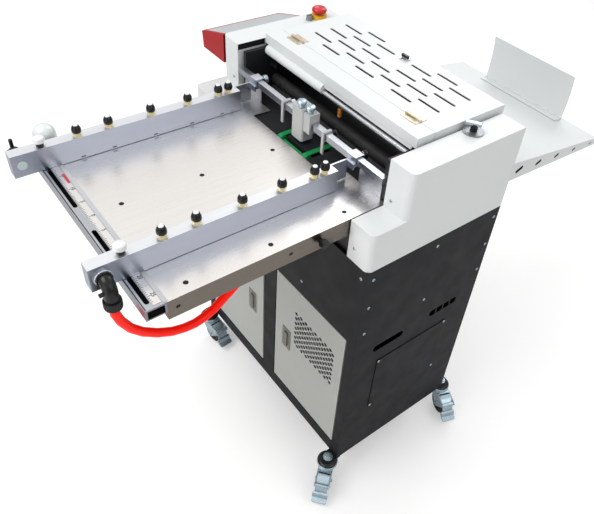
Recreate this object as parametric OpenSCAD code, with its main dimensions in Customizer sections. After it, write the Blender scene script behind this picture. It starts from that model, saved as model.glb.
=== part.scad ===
// Paper creasing machine: a floor-standing cabinet on castors, with a suction feed
// table, two air guides, a hinged creasing head and a sloping delivery tray.
// Sheets travel along +Y.  Z = 0 is the floor.

/* [Cabinet] */
// Width of the cabinet and of the head above it
cab_w = 700; // [660:5:780]
// Depth of the cabinet
cab_d = 422; // [400:2:460]
// Height of the cabinet, without castors
cab_h = 742; // [700:2:800]
// Thickness of the cabinet sheet
sheet_t = 2; // [1.5:0.5:3]
// Depth of the folded frame round the doors, and of the doors
frame_t = 16; // [14:1:20]
// Width of the stile between the doors
stile_w = 55; // [40:1:70]
// Width of the frame beside the doors
margin_w = 29.3; // [26:0.1:40]
// Height of the sill under the doors
sill_h = 45; // [35:1:60]
// Height of the dark band above the doors
band_h = 245; // [200:5:280]
// Gap round each door
door_gap = 4; // [3.6:0.1:6]
// Radius of a door pivot pin
pivot_r = 3; // [2.5:0.1:4]
// Width of the corner posts
post_w = 30; // [25:1:36]

/* [Castors] */
// Height from the floor to the cabinet
castor_h = 105; // [105:1:125]
// Diameter of a wheel
wheel_d = 75; // [70:1:76]
// Width of a wheel
wheel_w = 32; // [28:1:34]
// Distance of the wheel's axle behind the stem
trail = 34; // [32:1:38]
// Distance of the stems from the cabinet's side
castor_in_x = 18; // [16:1:40]
// Distance of the stems outside the cabinet's front and back
castor_out_y = 19; // [10:1:24]
// Radius of the stem
stem_r = 6; // [5:0.5:7]
// Radius of the bearing cup
cup_r = 30; // [26:1:32]
// Reach of the brake pedal from the stem
pedal_r = 100; // [96:1:104]
// Width of the brake pedal
pedal_w = 44; // [36:1:46]
// Thickness of the fork legs
leg_t = 3; // [2.5:0.5:4]
// Heading of the front right castor, in degrees
turn_fr = -50; // [-60:1:-40]
// Heading of the rear right castor
turn_rr = -20; // [-30:1:-10]
// Heading of the front left castor
turn_fl = 4; // [0:1:10]
// Heading of the rear left castor
turn_rl = 150; // [140:1:160]

/* [Head covers] */
// Width of each side cover
cover_w = 68; // [64:1:76]
// Height of the side covers' front step above the cabinet
step_h = 101; // [95:1:110]
// Height of the side covers above the cabinet
cover_h = 218; // [210:1:230]
// Depth of the front step
step_d = 86; // [80:1:90]
// Wall of the covers
cover_t = 2.5; // [2:0.5:3]
// Radius of the covers' outer front corners
cover_round = 14; // [8:1:18]
// Gap between the side covers and the lid
lid_side_gap = 7; // [5:0.5:10]
// Height of the lid above the side covers
lid_proud = 15; // [14:0.5:20]
// Height of the lid's and the front cover's skirt
lid_skirt = 24; // [22:1:30]
// Sheet of the lid
lid_t = 2; // [1.5:0.5:2.5]
// Depth of the fixed front cover
front_d = 50; // [44:1:56]
// Distance of the seam behind the cabinet's middle
seam_y = 2; // [0:0.5:6]
// Depth of the lid behind the seam
lid_d = 219; // [200:1:225]
// Length of a slot in the lid
lid_slot_l = 67; // [60:1:70]
// Width of a slot in the lid
lid_slot_w = 8; // [4:0.5:9]
// Spacing of the slots along the lid
lid_slot_px = 126; // [120:1:130]
// Spacing of the rows of slots
lid_slot_py = 24.6; // [22:0.1:26]
// Diameter of the guard tube under the front cover
guard_d = 26; // [22:1:30]

/* [Console and controls] */
// How far the console stands out from the left housing
console_w = 109; // [90:1:120]
// Length of the console
console_l = 245; // [200:5:280]
// Height of the console at the housing
console_h = 78; // [70:1:90]
// Fall of its panel towards the outer edge
console_fall = 35; // [30:1:50]
// Diameter of the stop button
stop_d = 40; // [36:1:42]
// Travel of the stop button
stop_travel = 5; // [4:0.5:6]
// Diameter of the setting dial
dial_d = 46; // [40:1:48]

/* [Feed table] */
// Height of the table's top above the cabinet
table_up = 101; // [98:1:110]
// Width of the table
table_w = 558; // [540:2:560]
// How far the table reaches in front of the cabinet
table_reach = 406; // [380:2:430]
// How far the table reaches into the head
table_in = 46; // [42:1:48]
// Height of the table's side flanges
flange_h = 45; // [40:1:50]
// Sheet of the table
table_t = 2; // [1.5:0.5:2.5]
// Depth of the ruler rail
rail_w = 40; // [36:1:46]
// Height of the ruler rail
rail_h = 25; // [22:1:30]
// Wall of the ruler rail
rail_t = 4; // [3:0.5:5]
// Width of the rail's clamp slots
slot_w = 9; // [8:0.5:10]
// Radius of the flange's two bracket holes
bracket_hole_r = 4.5; // [4:0.5:5]
// Spacing of the flange's two bracket holes
bracket_pitch = 240; // [200:5:250]

/* [Air guides] */
// Width of a guide
guide_w = 27; // [25:1:30]
// Height of a guide
guide_h = 51; // [46:1:54]
// Wall of a guide
guide_t = 3; // [2.5:0.5:4]
// How far the guides reach in front of the rail
guide_over = 53; // [45:1:60]
// Distance of the guides' rear end in front of the crossbar's middle
guide_back = 56; // [50:1:60]
// Middle of the near guide from the machine's middle
near_x = 177.5; // [165:0.5:185]
// Middle of the far guide from the machine's middle
far_x = -200.5; // [-205:0.5:-190]
// Running gap under the guides
guide_gap = 1; // [0.5:0.1:1.5]
// Radius of a lock knob's screw
lock_r = 3; // [2.5:0.5:3.5]
// Diameter of a lock knob's cap
lock_d = 24; // [20:1:28]
// Outer diameter of the air hose
hose_d = 19; // [16:1:22]

/* [Crossbar and separator] */
// Side of the square crossbar
bar_s = 15; // [12:1:18]
// Height of the crossbar's underside above the table
bar_up = 48; // [46:1:60]
// Distance of the crossbar in front of the cabinet's middle
bar_y = 122; // [118:1:124]
// Width of the separator's block
sep_w = 43; // [40:1:46]
// Height of the separator's block
sep_h = 82; // [80:1:88]
// Gap between the separator and the table
sep_gap = 6; // [4:0.5:8]
// Side clearance of what slides on the crossbar
bar_clear = 0.5; // [0.4:0.1:0.8]

/* [Creasing head] */
// Thickness of the head's side plates
plate_t = 10; // [8:1:12]
// Radius of the feed roller
feed_r = 18; // [16:1:20]
// Radius of the pinch roller
pinch_r = 14; // [12:1:16]
// Radius of the roller shafts
shaft_r = 6; // [5:0.5:7]
// Gap between the rollers for the sheet
nip = 0.4; // [0.3:0.1:0.8]
// Lift of the creasing beam above the anvil
beam_lift = 12; // [10:0.5:16]
// Width of a green feed belt
belt_w = 14; // [10:1:16]

/* [Delivery] */
// Width of the tray
tray_w = 540; // [520:2:542]
// Reach of the tray behind the cabinet
tray_reach = 538; // [500:2:580]
// Height of the tray's front edge above the cabinet
tray_up = 41; // [38:1:45]
// Fall of the tray, in degrees
tray_fall = 8; // [6:0.5:10]
// Height of the tray's flange at the head
tray_flange = 67; // [56:1:70]
// Height of the tray's flange at its rear end
tray_tip = 21; // [20:1:26]
// Sheet of the tray
tray_t = 2; // [1.5:0.5:2.5]
// Width of the backstop
stop_w = 300; // [240:5:360]
// Height of the backstop
stop_h = 142; // [100:2:160]

/* [Hidden] */

$fn = 48;
eps = 0.01;
run_fit = 0.05;      // radial clearance of a pin that turns
slip = 0.5;          // clearance of parts that slide past each other
joint_gap = 0.02;    // joint between plates bolted together

// Colours
charcoal = "#2f3033";
door_grey = "#b9bbb8";
cover_white = "#eceeec";
steel = "#b8babd";
bright_alu = "#cfd2d6";
zinc = "#c6ccd2";
black = "#1b1c1f";
brass = "#c9a455";
red = "#c0202a";
hose_red = "#ff2a1c";
belt_green = "#0f8a55";

// Cabinet levels and faces
z_cab = castor_h;
z_deck = castor_h + cab_h;
x_cab = cab_w / 2;
y_front = -cab_d / 2;
y_rear = cab_d / 2;
x_frame = x_cab - sheet_t;
y_frame = y_rear - sheet_t;
deck_t = 3;
z_door0 = z_cab + sill_h + door_gap;
z_band = z_deck - band_h;
z_door1 = z_band - door_gap;
x_door0 = stile_w / 2 + door_gap;
x_door1 = x_frame - margin_w + sheet_t - door_gap;
pivot_in = frame_t / 2;
x_pivot = x_door1 - pivot_in;
y_pivot = y_front + pivot_in;
pin_depth = 9;
pivot_boss = 14;

// Door latches
latch_x = x_door0 + 54;
latch_z = z_door0 + 242;
latch_len = 60;
latch_w = 15;
latch_plate_w = 36;
latch_plate_h = 78;
latch_t = 2;
spindle_r = 5;

// Vents of the right door
vent_x = x_door0 + 92;
vent_z = z_door0 + 241;
vent_cols = 16;
vent_rows = 7;
vent_px = 10.3;
vent_pz = 19.2;
vent_r = 5.7;

// Castors
castor_x = x_cab - castor_in_x;
castor_y = cab_d / 2 + castor_out_y;
axle_z = wheel_d / 2;
axle_r = 4;
crown_gap = 3;
crown_z = wheel_d + crown_gap;
crown_t = 4;
cup_z = crown_z + crown_t;
cup_h = 14;
leg_y = wheel_w / 2 + 2;
stem_head_t = 3.5;
lug_r = 18;
lug_t = 5;
lug_lap = 12;
nut_r = 9.6;
brake_gap = 4;
brake_t = 2.5;
brake_pivot_r = 2.5;
brake_pivot_off = wheel_d / 2 + 9.5;
brake_pivot_a = 40;
brake_x = trail + brake_pivot_off * cos(brake_pivot_a);
brake_z = axle_z + brake_pivot_off * sin(brake_pivot_a);
tip_round = 6;
tip_z = 16;

// Head levels
z_table = z_deck + table_up;
z_step = z_deck + step_h;
z_cover = z_deck + cover_h;
z_lid = z_cover + lid_proud;
z_skirt = z_lid - lid_skirt;
x_cover = x_cab - cover_w;
x_lid = x_cover - lid_side_gap;
x_plate = x_lid - lid_t - 1;
x_bay = x_plate - plate_t;
y_step = y_front + step_d;
y_lid0 = seam_y - front_d;
y_seam_gap = 1;
x_guard = -33;                // where the guard tube gives way to its rod
y_lid1 = seam_y + lid_d;
y_plate0 = y_front + 8;
y_plate1 = y_rear - 5;
z_plate = z_skirt - 6;

// Feed table
table_under = z_table - table_t;
x_table = table_w / 2;
y_table0 = y_front - table_reach;
y_table1 = y_front + table_in;
y_rail0 = y_table0 - rail_w;
y_slot = y_rail0 + rail_w * 0.3;
x_slot_gap = 40;
x_slot_end = x_table - 14;
arm_w = 24;
arm_h = 36;
y_arm = y_table0 + 5;
screw_r = 4;
screw_x = x_table - 24;
screw_y = [y_table0 + 49, y_front - 177, y_front + 3];
bed_t = 6;
z_bed = z_table - 4;
y_bed0 = y_table1 + 1;
belt_bay = 62;
drum_r = 11;
belt_t = 1.5;
y_belt0 = y_bed0 + drum_r + belt_t;
z_belt = z_table - drum_r - belt_t;

// Crossbar, guides and knobs
z_bar = z_table + bar_up;
y_bar = -bar_y;
y_bar_rear = y_bar + bar_s / 2;
y_guide0 = y_rail0 - guide_over;
y_guide1 = y_bar - guide_back;
z_guide = z_table + guide_gap;
z_guide1 = z_guide + guide_h;
valve_at = [142, 211, 309, 400, 480, 507];   // valves from the guide's front end
lock_y = y_slot;
nozzle_l = 10;
nozzle_h = 2.5;
elbow_y = y_guide0 + 23;
elbow_z = z_guide + guide_h * 0.5;
elbow_r = 13;
elbow_reach = 24;
far_reach = 36;
elbow_bend = 15;
bowl_r = 23.5;
z_hose0 = 922;

// The hose's route: round numbers in the machine frame, from elbow to spigot
hose_route = [[215, -687, 922], [215, -687, 903], [214, -680, 878], [211, -665, 846],
    [208, -643, 817], [206, -615, 793], [204, -586, 775], [202, -558, 765], [200, -533, 761],
    [197, -508, 763], [195, -485, 771], [193, -460, 787], [192, -430, 809], [191, -398, 832],
    [190, -362, 853], [190, -320, 870], [190, -275, 880], [190, -240, 880]];
hose_sides = 10;
spigot_r = 11;

// Creasing head
y_feed = -28;
z_feed = z_table - feed_r + 0.5;
z_pinch = z_feed + feed_r + nip + pinch_r;
y_beam = 70;
beam_w = 40;
beam_h = 46;
blade_t = 1.5;
z_anvil = z_table;
x_beam = x_bay - 2;
y_belt1 = y_feed - feed_r - 12 - drum_r - belt_t;

// Tray
y_tray0 = y_plate1;
y_tray1 = y_rear + tray_reach;
z_tray0 = z_deck + tray_up;
tray_run = y_tray1 - y_tray0;
z_tray1 = z_tray0 - tray_run * tan(tray_fall);
x_tray = tray_w / 2;
tray_slots = 5;
tray_slot_y = 176;
tray_slot_step = 84;

// Controls
x_controls = x_cab - cover_w / 2;
x_dial = x_controls - 16;
y_dial = 94;
lever_l = 21;
y_stop = 150;
y_key = 118;
collar_h = 10;
collar_r = stop_d / 2 + 1;

// The origin: the middle of the whole machine's outline, on the floor
function tip_reach(a) = (pedal_r - tip_round) * cos(a)
    + (pedal_w / 2 - tip_round) * abs(sin(a)) + tip_round;
x_high = castor_x + max(tip_reach(turn_fr), tip_reach(turn_rr));
x_low = -x_cab - console_w;
origin_x = (x_high + x_low) / 2;
origin_y = (y_guide0 + y_tray1) / 2;

// ---------- helpers ----------

module in_frame() {
    translate([-origin_x, -origin_y, 0]) children();
}

module box(x0, x1, y0, y1, z0, z1) {
    translate([x0, y0, z0]) cube([x1 - x0, y1 - y0, z1 - z0]);
}

module rod_x(r, x0, x1, y, z) {
    translate([x0, y, z]) rotate([0, 90, 0]) cylinder(r = r, h = x1 - x0);
}

module rod_y(r, y0, y1, x, z) {
    translate([x, y0, z]) rotate([-90, 0, 0]) cylinder(r = r, h = y1 - y0);
}

module rod_z(r, z0, z1, x, y) {
    translate([x, y, z0]) cylinder(r = r, h = z1 - z0);
}

// A flat outline with round ends, l long along X
module stadium(l, w) {
    for (s = [-1, 1]) translate([s * (l - w) / 2, 0]) circle(d = w);
    square([l - w, w], center = true);
}

// A flat rectangle with round corners, from 0, 0
module round_rect(w, d, r) {
    translate([r, 0]) square([w - 2 * r, d]);
    translate([0, r]) square([w, d - 2 * r]);
    for (x = [r, w - r], y = [r, d - r]) translate([x, y]) circle(r = r);
}

// Extrudes a YZ outline along X
module along_x(x0, x1) {
    translate([x0, 0, 0]) rotate([90, 0, 90]) linear_extrude(x1 - x0) children();
}

// Extrudes an XZ outline along Y
module along_y(y0, y1) {
    translate([0, y1, 0]) rotate([90, 0, 0]) linear_extrude(y1 - y0) children();
}

module both_sides() {
    children();
    mirror([1, 0, 0]) children();
}

// Mirrors to the left where sx is -1, and to the front where sy is -1
module flip_sides(sx, sy) {
    mirror([sx < 0 ? 1 : 0, 0, 0]) mirror([0, sy < 0 ? 1 : 0, 0]) children();
}

// ---------- cabinet ----------

// The two plates of a rear corner post, drawn for the right side
module corner_post(z0, z1) {
    box(x_frame - post_w, x_frame, y_frame - deck_t, y_frame, z0, z1);
    box(x_frame - deck_t, x_frame, y_frame - post_w, y_frame - deck_t - joint_gap, z0, z1);
}

// Flat members with a joint between each two
module cabinet_frame() in_frame() color(charcoal) {
    z_foot = z_cab + deck_t + joint_gap;
    z_sill = z_cab + sill_h;
    z_head = z_deck - deck_t - joint_gap;
    inset = deck_t + joint_gap;
    difference() {
        union() {
            box(-x_frame, x_frame, y_front, y_frame, z_cab, z_cab + deck_t);
            box(-x_frame, x_frame, y_front + sheet_t, y_frame, z_deck - deck_t, z_deck);
            box(-x_frame + inset, x_frame - inset, y_front + frame_t + joint_gap, y_frame - inset,
                z_band, z_band + deck_t);
            both_sides() {
                corner_post(z_foot, z_head);
                box(x_door1 + door_gap, x_frame, y_front, y_front + frame_t,
                    z_sill + joint_gap, z_band - joint_gap);
                box(x_frame - post_w, x_frame, y_front + sheet_t, y_front + frame_t,
                    z_band + post_w + joint_gap, z_head);
            }
            box(-stile_w / 2, stile_w / 2, y_front, y_front + frame_t,
                z_sill + joint_gap, z_band - joint_gap);
            box(-x_frame, x_frame, y_front, y_front + frame_t, z_foot, z_sill);
            box(-x_frame, x_frame, y_front + sheet_t, y_front + frame_t, z_band, z_band + post_w);
            box(-x_frame + post_w + joint_gap, x_frame - post_w - joint_gap, y_frame - deck_t, y_frame,
                z_foot, z_sill);
        }
        for (s = [-1, 1]) {
            rod_z(pivot_r + run_fit, z_door0 - door_gap - pin_depth, z_door0, s * x_pivot, y_pivot);
            rod_z(pivot_r + run_fit, z_door1, z_band + pin_depth, s * x_pivot, y_pivot);
        }
        rod_z(spigot_r + 7, z_band - 1, z_deck + 1, blower_pipe_x, blower_pipe_y);
    }
    castor_studs();
}

// A stud, its nuts, and the lug that carries it in front of or behind the cabinet
module castor_studs() {
    z_lug = castor_h - lug_t;
    z_top = castor_h - joint_gap;
    for (sx = [-1, 1], sy = [-1, 1]) flip_sides(sx, sy) translate([castor_x, castor_y, 0]) {
        translate([0, 0, crown_z - stem_head_t - slip]) cylinder(r = stem_r + 3, h = stem_head_t);
        translate([0, 0, crown_z - stem_head_t]) cylinder(r = stem_r, h = castor_h - crown_z + 12);
        translate([0, 0, cup_z + cup_h + 1])
            cylinder(r = nut_r, h = z_lug - cup_z - cup_h - 1 + eps, $fn = 6);
        translate([0, 0, z_lug]) cylinder(r = lug_r, h = z_top - z_lug);
        box(-lug_r, lug_r, -castor_out_y - lug_lap, 0, z_lug, z_top);
        translate([0, 0, z_top - eps]) cylinder(r = nut_r, h = 8, $fn = 6);
    }
}

module side_vents(x) {
    z_slot = z_cab + 0.6 * cab_h;
    along_x(x - 1, x + sheet_t + 1) {
        translate([y_front + 0.27 * cab_d, z_slot]) stadium(100, 22);
        // The rear slot keeps three upright bars
        translate([y_front + 0.72 * cab_d, z_slot + 9]) difference() {
            stadium(100, 22);
            for (i = [-1 : 1]) translate([i * 25 - 2, -12]) square([4, 24]);
        }
    }
}

panel_y0 = y_front + 86;      // access panel's outline
panel_y1 = y_rear - 90;
panel_z0 = z_cab + 0.248 * cab_h;
panel_z1 = z_cab + 0.523 * cab_h;
panel_lap = 11;

module right_side_panel() in_frame() color(charcoal) {
    difference() {
        box(x_frame, x_cab, y_front, y_frame, z_cab, z_deck);
        side_vents(x_frame);
        box(x_frame - 1, x_cab + 1, panel_y0 + panel_lap, panel_y1 - panel_lap,
            panel_z0 + panel_lap, panel_z1 - panel_lap);
    }
}

module left_side_panel() in_frame() color(charcoal) {
    mirror([1, 0, 0]) difference() {
        box(x_frame, x_cab, y_front, y_frame, z_cab, z_deck);
        side_vents(x_frame);
    }
}

module access_panel() in_frame() color(charcoal) {
    difference() {
        box(x_cab, x_cab + sheet_t, panel_y0, panel_y1, panel_z0, panel_z1);
        for (y = [panel_y0 + panel_lap / 2, panel_y1 - panel_lap / 2],
             z = [panel_z0 + panel_lap / 2, panel_z1 - panel_lap / 2])
            rod_x(1.5, x_cab - 1, x_cab + sheet_t + 1, y, z);
    }
}

inlet_x = -0.743 * x_cab;
inlet_z = z_cab + 0.121 * cab_h;

module rear_panel() in_frame() color(charcoal) {
    louvre_rows = 9;
    difference() {
        box(-x_cab, x_cab, y_frame, y_rear, z_cab, z_deck);
        for (s = [-1, 1], i = [0 : louvre_rows - 1]) along_y(y_frame - 1, y_rear + 1)
            translate([s * x_cab / 2, z_cab + 0.566 * cab_h + i * 22]) stadium(190, 8);
        box(inlet_x - 14, inlet_x + 14, y_frame - 1, y_rear + 1, inlet_z - 10, inlet_z + 10);
    }
    // The power inlet: a flanged socket shell
    difference() {
        union() {
            box(inlet_x - 24, inlet_x + 24, y_rear, y_rear + 3, inlet_z - 15, inlet_z + 15);
            box(inlet_x - 13.5, inlet_x + 13.5, y_rear - 26, y_rear + eps,
                inlet_z - 9.5, inlet_z + 9.5);
        }
        box(inlet_x - 11.5, inlet_x + 11.5, y_rear - 20, y_rear + 4, inlet_z - 7.5, inlet_z + 7.5);
    }
}

module front_band() in_frame() color(charcoal) {
    box(-x_frame, x_frame, y_front, y_front + sheet_t, z_band, z_deck);
}

head_t = 1.6;                 // height of a pan head screw
head_r = 4;

module panel_screws() in_frame() color(zinc) {
    // Side panels: three rows at the front and back edges, and one at mid depth
    for (s = [-1, 1], i = [0 : 2]) {
        x0 = s > 0 ? x_cab : -x_cab - head_t;
        z = z_deck - (0.038 + 0.12 * i) * cab_h;
        for (y = [y_front + 22, y_rear - 14]) rod_x(head_r, x0, x0 + head_t, y, z);
        if (i != 1) rod_x(head_r, x0, x0 + head_t, y_front + 0.51 * cab_d, z);
    }
    // Access panel
    for (y = [panel_y0 + panel_lap / 2, panel_y1 - panel_lap / 2],
         z = [panel_z0 + panel_lap / 2, panel_z1 - panel_lap / 2])
        rod_x(head_r, x_cab + sheet_t, x_cab + sheet_t + head_t, y, z);
    // Front band and side covers
    x_seam = x_controls - 15;
    for (s = [-1, 1]) {
        for (x = [x_cab - 16, x_cab - 214]) rod_y(head_r, y_front - head_t, y_front,
            s * x, x > x_cab - 100 ? z_deck - 26 : z_band + 42);
        rod_y(head_r, y_front - head_t, y_front, s * x_seam, z_deck + 36);
        rod_y(head_r, y_step - head_t, y_step, s * x_seam, z_step + 24);
    }
    // Countersunk screws of the feed table
    for (x = [-screw_x, -5, screw_x], y = screw_y) rod_z(screw_r, table_under, z_table, x, y);
}

// ---------- doors ----------

module door_hinges() in_frame() color(steel) {
    for (s = [-1, 1]) {
        rod_z(pivot_r, z_door0 - door_gap - pin_depth + 1, z_door0 + pin_depth,
            s * x_pivot, y_pivot);
        rod_z(pivot_r, z_door1 - pin_depth, z_band + pin_depth - 1, s * x_pivot, y_pivot);
    }
}

// A folded pan with pivot blocks and the latch's plate, drawn for the right door
module door_pan() {
    difference() {
        union() {
            difference() {
                box(x_door0, x_door1, y_front, y_front + frame_t, z_door0, z_door1);
                box(x_door0 + sheet_t, x_door1 - sheet_t, y_front + sheet_t,
                    y_front + frame_t + 1, z_door0 + sheet_t, z_door1 - sheet_t);
            }
            for (z = [z_door0, z_door1 - pivot_boss])
                box(x_door1 - frame_t, x_door1, y_front, y_front + frame_t, z, z + pivot_boss);
            box(latch_x - 12, latch_x + 12, y_front, y_front + frame_t - 4,
                latch_z - 12, latch_z + 12);
        }
        rod_z(pivot_r + run_fit, z_door0 - 1, z_door0 + pin_depth + 1, x_pivot, y_pivot);
        rod_z(pivot_r + run_fit, z_door1 - pin_depth - 1, z_door1 + 1, x_pivot, y_pivot);
        rod_y(spindle_r + run_fit, y_front - 1, y_front + frame_t, latch_x, latch_z);
    }
}

module latch_plate() {
    difference() {
        box(latch_x - latch_plate_w / 2, latch_x + latch_plate_w / 2, y_front - latch_t, y_front,
            latch_z + 18 - latch_plate_h, latch_z + 18);
        rod_y(spindle_r + 1, y_front - latch_t - 1, y_front + 1, latch_x, latch_z);
    }
}

module right_door() in_frame() color(door_grey) {
    difference() {
        door_pan();
        for (i = [0 : vent_cols - 1], j = [0 : vent_rows - 1])
            rod_y(vent_r, y_front - 1, y_front + sheet_t + 1,
                vent_x + i * vent_px, vent_z + j * vent_pz - (i % 2) * vent_pz / 2);
    }
    latch_plate();
}

module left_door() in_frame() color(door_grey) mirror([1, 0, 0]) {
    door_pan();
    latch_plate();
}

// A swing handle on a spindle, with a short cam inside the door
module door_latch_piece() {
    y_handle = y_front - latch_t - slip;
    rod_y(spindle_r, y_handle - 2, y_front + frame_t - 3.5, latch_x, latch_z);
    translate([latch_x, 0, latch_z]) along_y(y_handle - 4, y_handle)
        translate([0, -latch_len / 2 + latch_w / 2]) rotate(90) stadium(latch_len, latch_w);
    box(latch_x - 22, latch_x + 6, y_front + frame_t - 3.5, y_front + frame_t - 1,
        latch_z - 6, latch_z + 6);
}

module right_door_latch() in_frame() color(zinc) door_latch_piece();

module left_door_latch() in_frame() color(zinc) mirror([1, 0, 0]) door_latch_piece();

// ---------- castors ----------
// Drawn with the stem on the Z axis and the wheel towards +X

module at_castor(sx, sy, turn) {
    in_frame() translate([sx * castor_x, sy * castor_y, 0]) rotate(turn) children();
}

module leg_outline() {
    translate([trail, axle_z]) circle(r = 12);
    translate([brake_x, brake_z]) circle(r = 7);
    polygon([[-16, crown_z + crown_t], [26, crown_z + crown_t], [brake_x, brake_z + 7],
        [brake_x + 5, brake_z - 5], [trail + 10, axle_z - 6.5], [trail - 11, axle_z - 4.5],
        [-16, crown_z - 6]]);
}

module castor_fork() color(zinc) {
    difference() {
        union() {
            translate([0, 0, crown_z]) cylinder(r = cup_r - 2, h = crown_t);
            box(-16, 37, -leg_y - leg_t, leg_y + leg_t, crown_z, crown_z + crown_t);
            for (s = [-1, 1]) along_y(s > 0 ? leg_y : -leg_y - leg_t, s > 0 ? leg_y + leg_t : -leg_y)
                leg_outline();
            translate([0, 0, cup_z]) rotate_extrude() polygon([[0, 0], [cup_r, 0], [cup_r, 5],
                [cup_r - 3, 9], [cup_r - 8, 12], [stem_r + 4, cup_h], [0, cup_h]]);
            rod_y(axle_r, -leg_y - leg_t - 4, leg_y + leg_t + 4, trail, axle_z);
            rod_y(brake_pivot_r, -leg_y - leg_t - 2, leg_y + leg_t + 2, brake_x, brake_z);
        }
        translate([0, 0, crown_z - 1]) cylinder(r = stem_r + run_fit, h = cup_h + crown_t + 2);
    }
}

module castor_wheel() color(black) translate([trail, 0, axle_z]) rotate([90, 0, 0]) {
    edge = 4;
    rotate_extrude() polygon([[axle_r + run_fit, -wheel_w / 2 - 1], [10, -wheel_w / 2 - 1],
        [12, -wheel_w / 2 + 3], [wheel_d / 2 - 11, -wheel_w / 2 + 3],
        [wheel_d / 2 - 8, -wheel_w / 2], [wheel_d / 2 - edge, -wheel_w / 2],
        [wheel_d / 2, -wheel_w / 2 + edge], [wheel_d / 2, wheel_w / 2 - edge],
        [wheel_d / 2 - edge, wheel_w / 2], [wheel_d / 2 - 8, wheel_w / 2],
        [wheel_d / 2 - 11, wheel_w / 2 - 3], [12, wheel_w / 2 - 3], [10, wheel_w / 2 + 1],
        [axle_r + run_fit, wheel_w / 2 + 1]]);
}

// The pedal: an arch over the tyre that runs out to a foot plate
module castor_brake() color(zinc) {
    r_in = wheel_d / 2 + brake_gap;
    r_out = r_in + brake_t;
    half = min(pedal_w / 2, leg_y - slip);
    difference() {
        union() {
            intersection() {
                along_y(-half, half) translate([trail, axle_z]) difference() {
                    circle(r = r_out);
                    circle(r = r_in);
                }
                along_y(-half, half) translate([trail, axle_z])
                    polygon([[0, 0], 90 * [cos(80), sin(80)], 90 * [1, 1], 90 * [1, -0.12]]);
            }
            rod_y(brake_pivot_r + 2.5, -half, half, brake_x, brake_z);
            pedal_plate();
        }
        rod_y(brake_pivot_r + run_fit, -half - 1, half + 1, brake_x, brake_z);
    }
}

module pedal_plate() {
    x0 = trail + wheel_d / 2 + brake_gap;
    intersection() {
        along_y(-pedal_w / 2, pedal_w / 2) polygon([[x0, axle_z - 6], [x0 + brake_t, axle_z + 6],
            [x0 + 8, axle_z + 4], [x0 + 12, tip_z + 12], [pedal_r, tip_z + 8],
            [pedal_r, tip_z + 4], [x0 + 9, tip_z + 8], [x0 + 5, axle_z - 8]]);
        translate([0, -pedal_w / 2, 0])
            linear_extrude(castor_h) round_rect(pedal_r, pedal_w, tip_round);
    }
}

module castor_fork_front_right() at_castor(1, -1, turn_fr) castor_fork();
module castor_fork_rear_right() at_castor(1, 1, turn_rr) castor_fork();
module castor_fork_front_left() at_castor(-1, -1, turn_fl) castor_fork();
module castor_fork_rear_left() at_castor(-1, 1, turn_rl) castor_fork();
module castor_wheel_front_right() at_castor(1, -1, turn_fr) castor_wheel();
module castor_wheel_rear_right() at_castor(1, 1, turn_rr) castor_wheel();
module castor_wheel_front_left() at_castor(-1, -1, turn_fl) castor_wheel();
module castor_wheel_rear_left() at_castor(-1, 1, turn_rl) castor_wheel();
module castor_brake_front_right() at_castor(1, -1, turn_fr) castor_brake();
module castor_brake_rear_right() at_castor(1, 1, turn_rr) castor_brake();
module castor_brake_front_left() at_castor(-1, -1, turn_fl) castor_brake();
module castor_brake_rear_left() at_castor(-1, 1, turn_rl) castor_brake();

// ---------- creasing head ----------

// A side plate: the main plate, its low front plate and the tongue under the front cover
module side_plate() {
    difference() {
        box(x_bay, x_plate, y_bar_rear, y_plate1, z_deck, z_plate);
        rod_x(shaft_r + run_fit, x_bay - 1, x_plate + 1, y_feed, z_feed);
        rod_x(shaft_r + run_fit, x_bay - 1, x_plate + 1, y_feed, z_pinch);
    }
    box(x_bay, x_plate, y_plate0, y_bar_rear - joint_gap, z_deck, table_under);
    box(x_bay, x_plate, y_lid0 + lid_t, seam_y - 4, z_plate + joint_gap, z_lid - lid_t);
}

// Arms under the table, bolted to the front plate
module table_arms() {
    z0 = table_under - arm_h + joint_gap;
    both_sides() box(x_table - 17 - arm_w, x_table - 17 - joint_gap, y_arm, y_bed0 - joint_gap,
        z0, table_under);
    box(-15, 5, y_arm, y_bed0 - joint_gap, z0, table_under);
}

// The bed behind the table, open for the belts and the feed roller
module bed_plate() {
    difference() {
        box(-x_bay + joint_gap, x_bay - joint_gap, y_bed0, y_plate1 - 8, z_bed - bed_t, z_bed);
        box(-belt_bay, belt_bay, y_bed0 - 1, y_feed - feed_r - 10, z_bed - bed_t - 1, z_bed + 1);
        box(-x_beam, x_beam, y_feed - feed_r - 3, y_feed + feed_r + 3, z_bed - bed_t - 1, z_bed + 1);
        belt_shaft_bores();
    }
}

module belt_shaft_bores() {
    for (y = [y_belt0, y_belt1]) rod_x(4 + run_fit, -belt_bay - 9, belt_bay + 9, y, z_belt);
}

// Suction box between the belts, over the bracket that carries the belts' shafts
module suction_box() {
    z_floor = z_bed - 26;
    box(-belt_bay + 24, belt_bay - 24, y_belt0 + 8, y_belt1 - 8, z_floor, z_bed + 2);
    difference() {
        union() {
            box(-belt_bay - 8, belt_bay + 8, y_bed0 + 4, y_belt1 + 8,
                z_floor - 4, z_floor - joint_gap);
            both_sides() box(belt_bay, belt_bay + 8, y_bed0 + 4, y_belt1 + 8,
                z_floor - 4, z_bed - bed_t - joint_gap);
        }
        belt_shaft_bores();
    }
}

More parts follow.
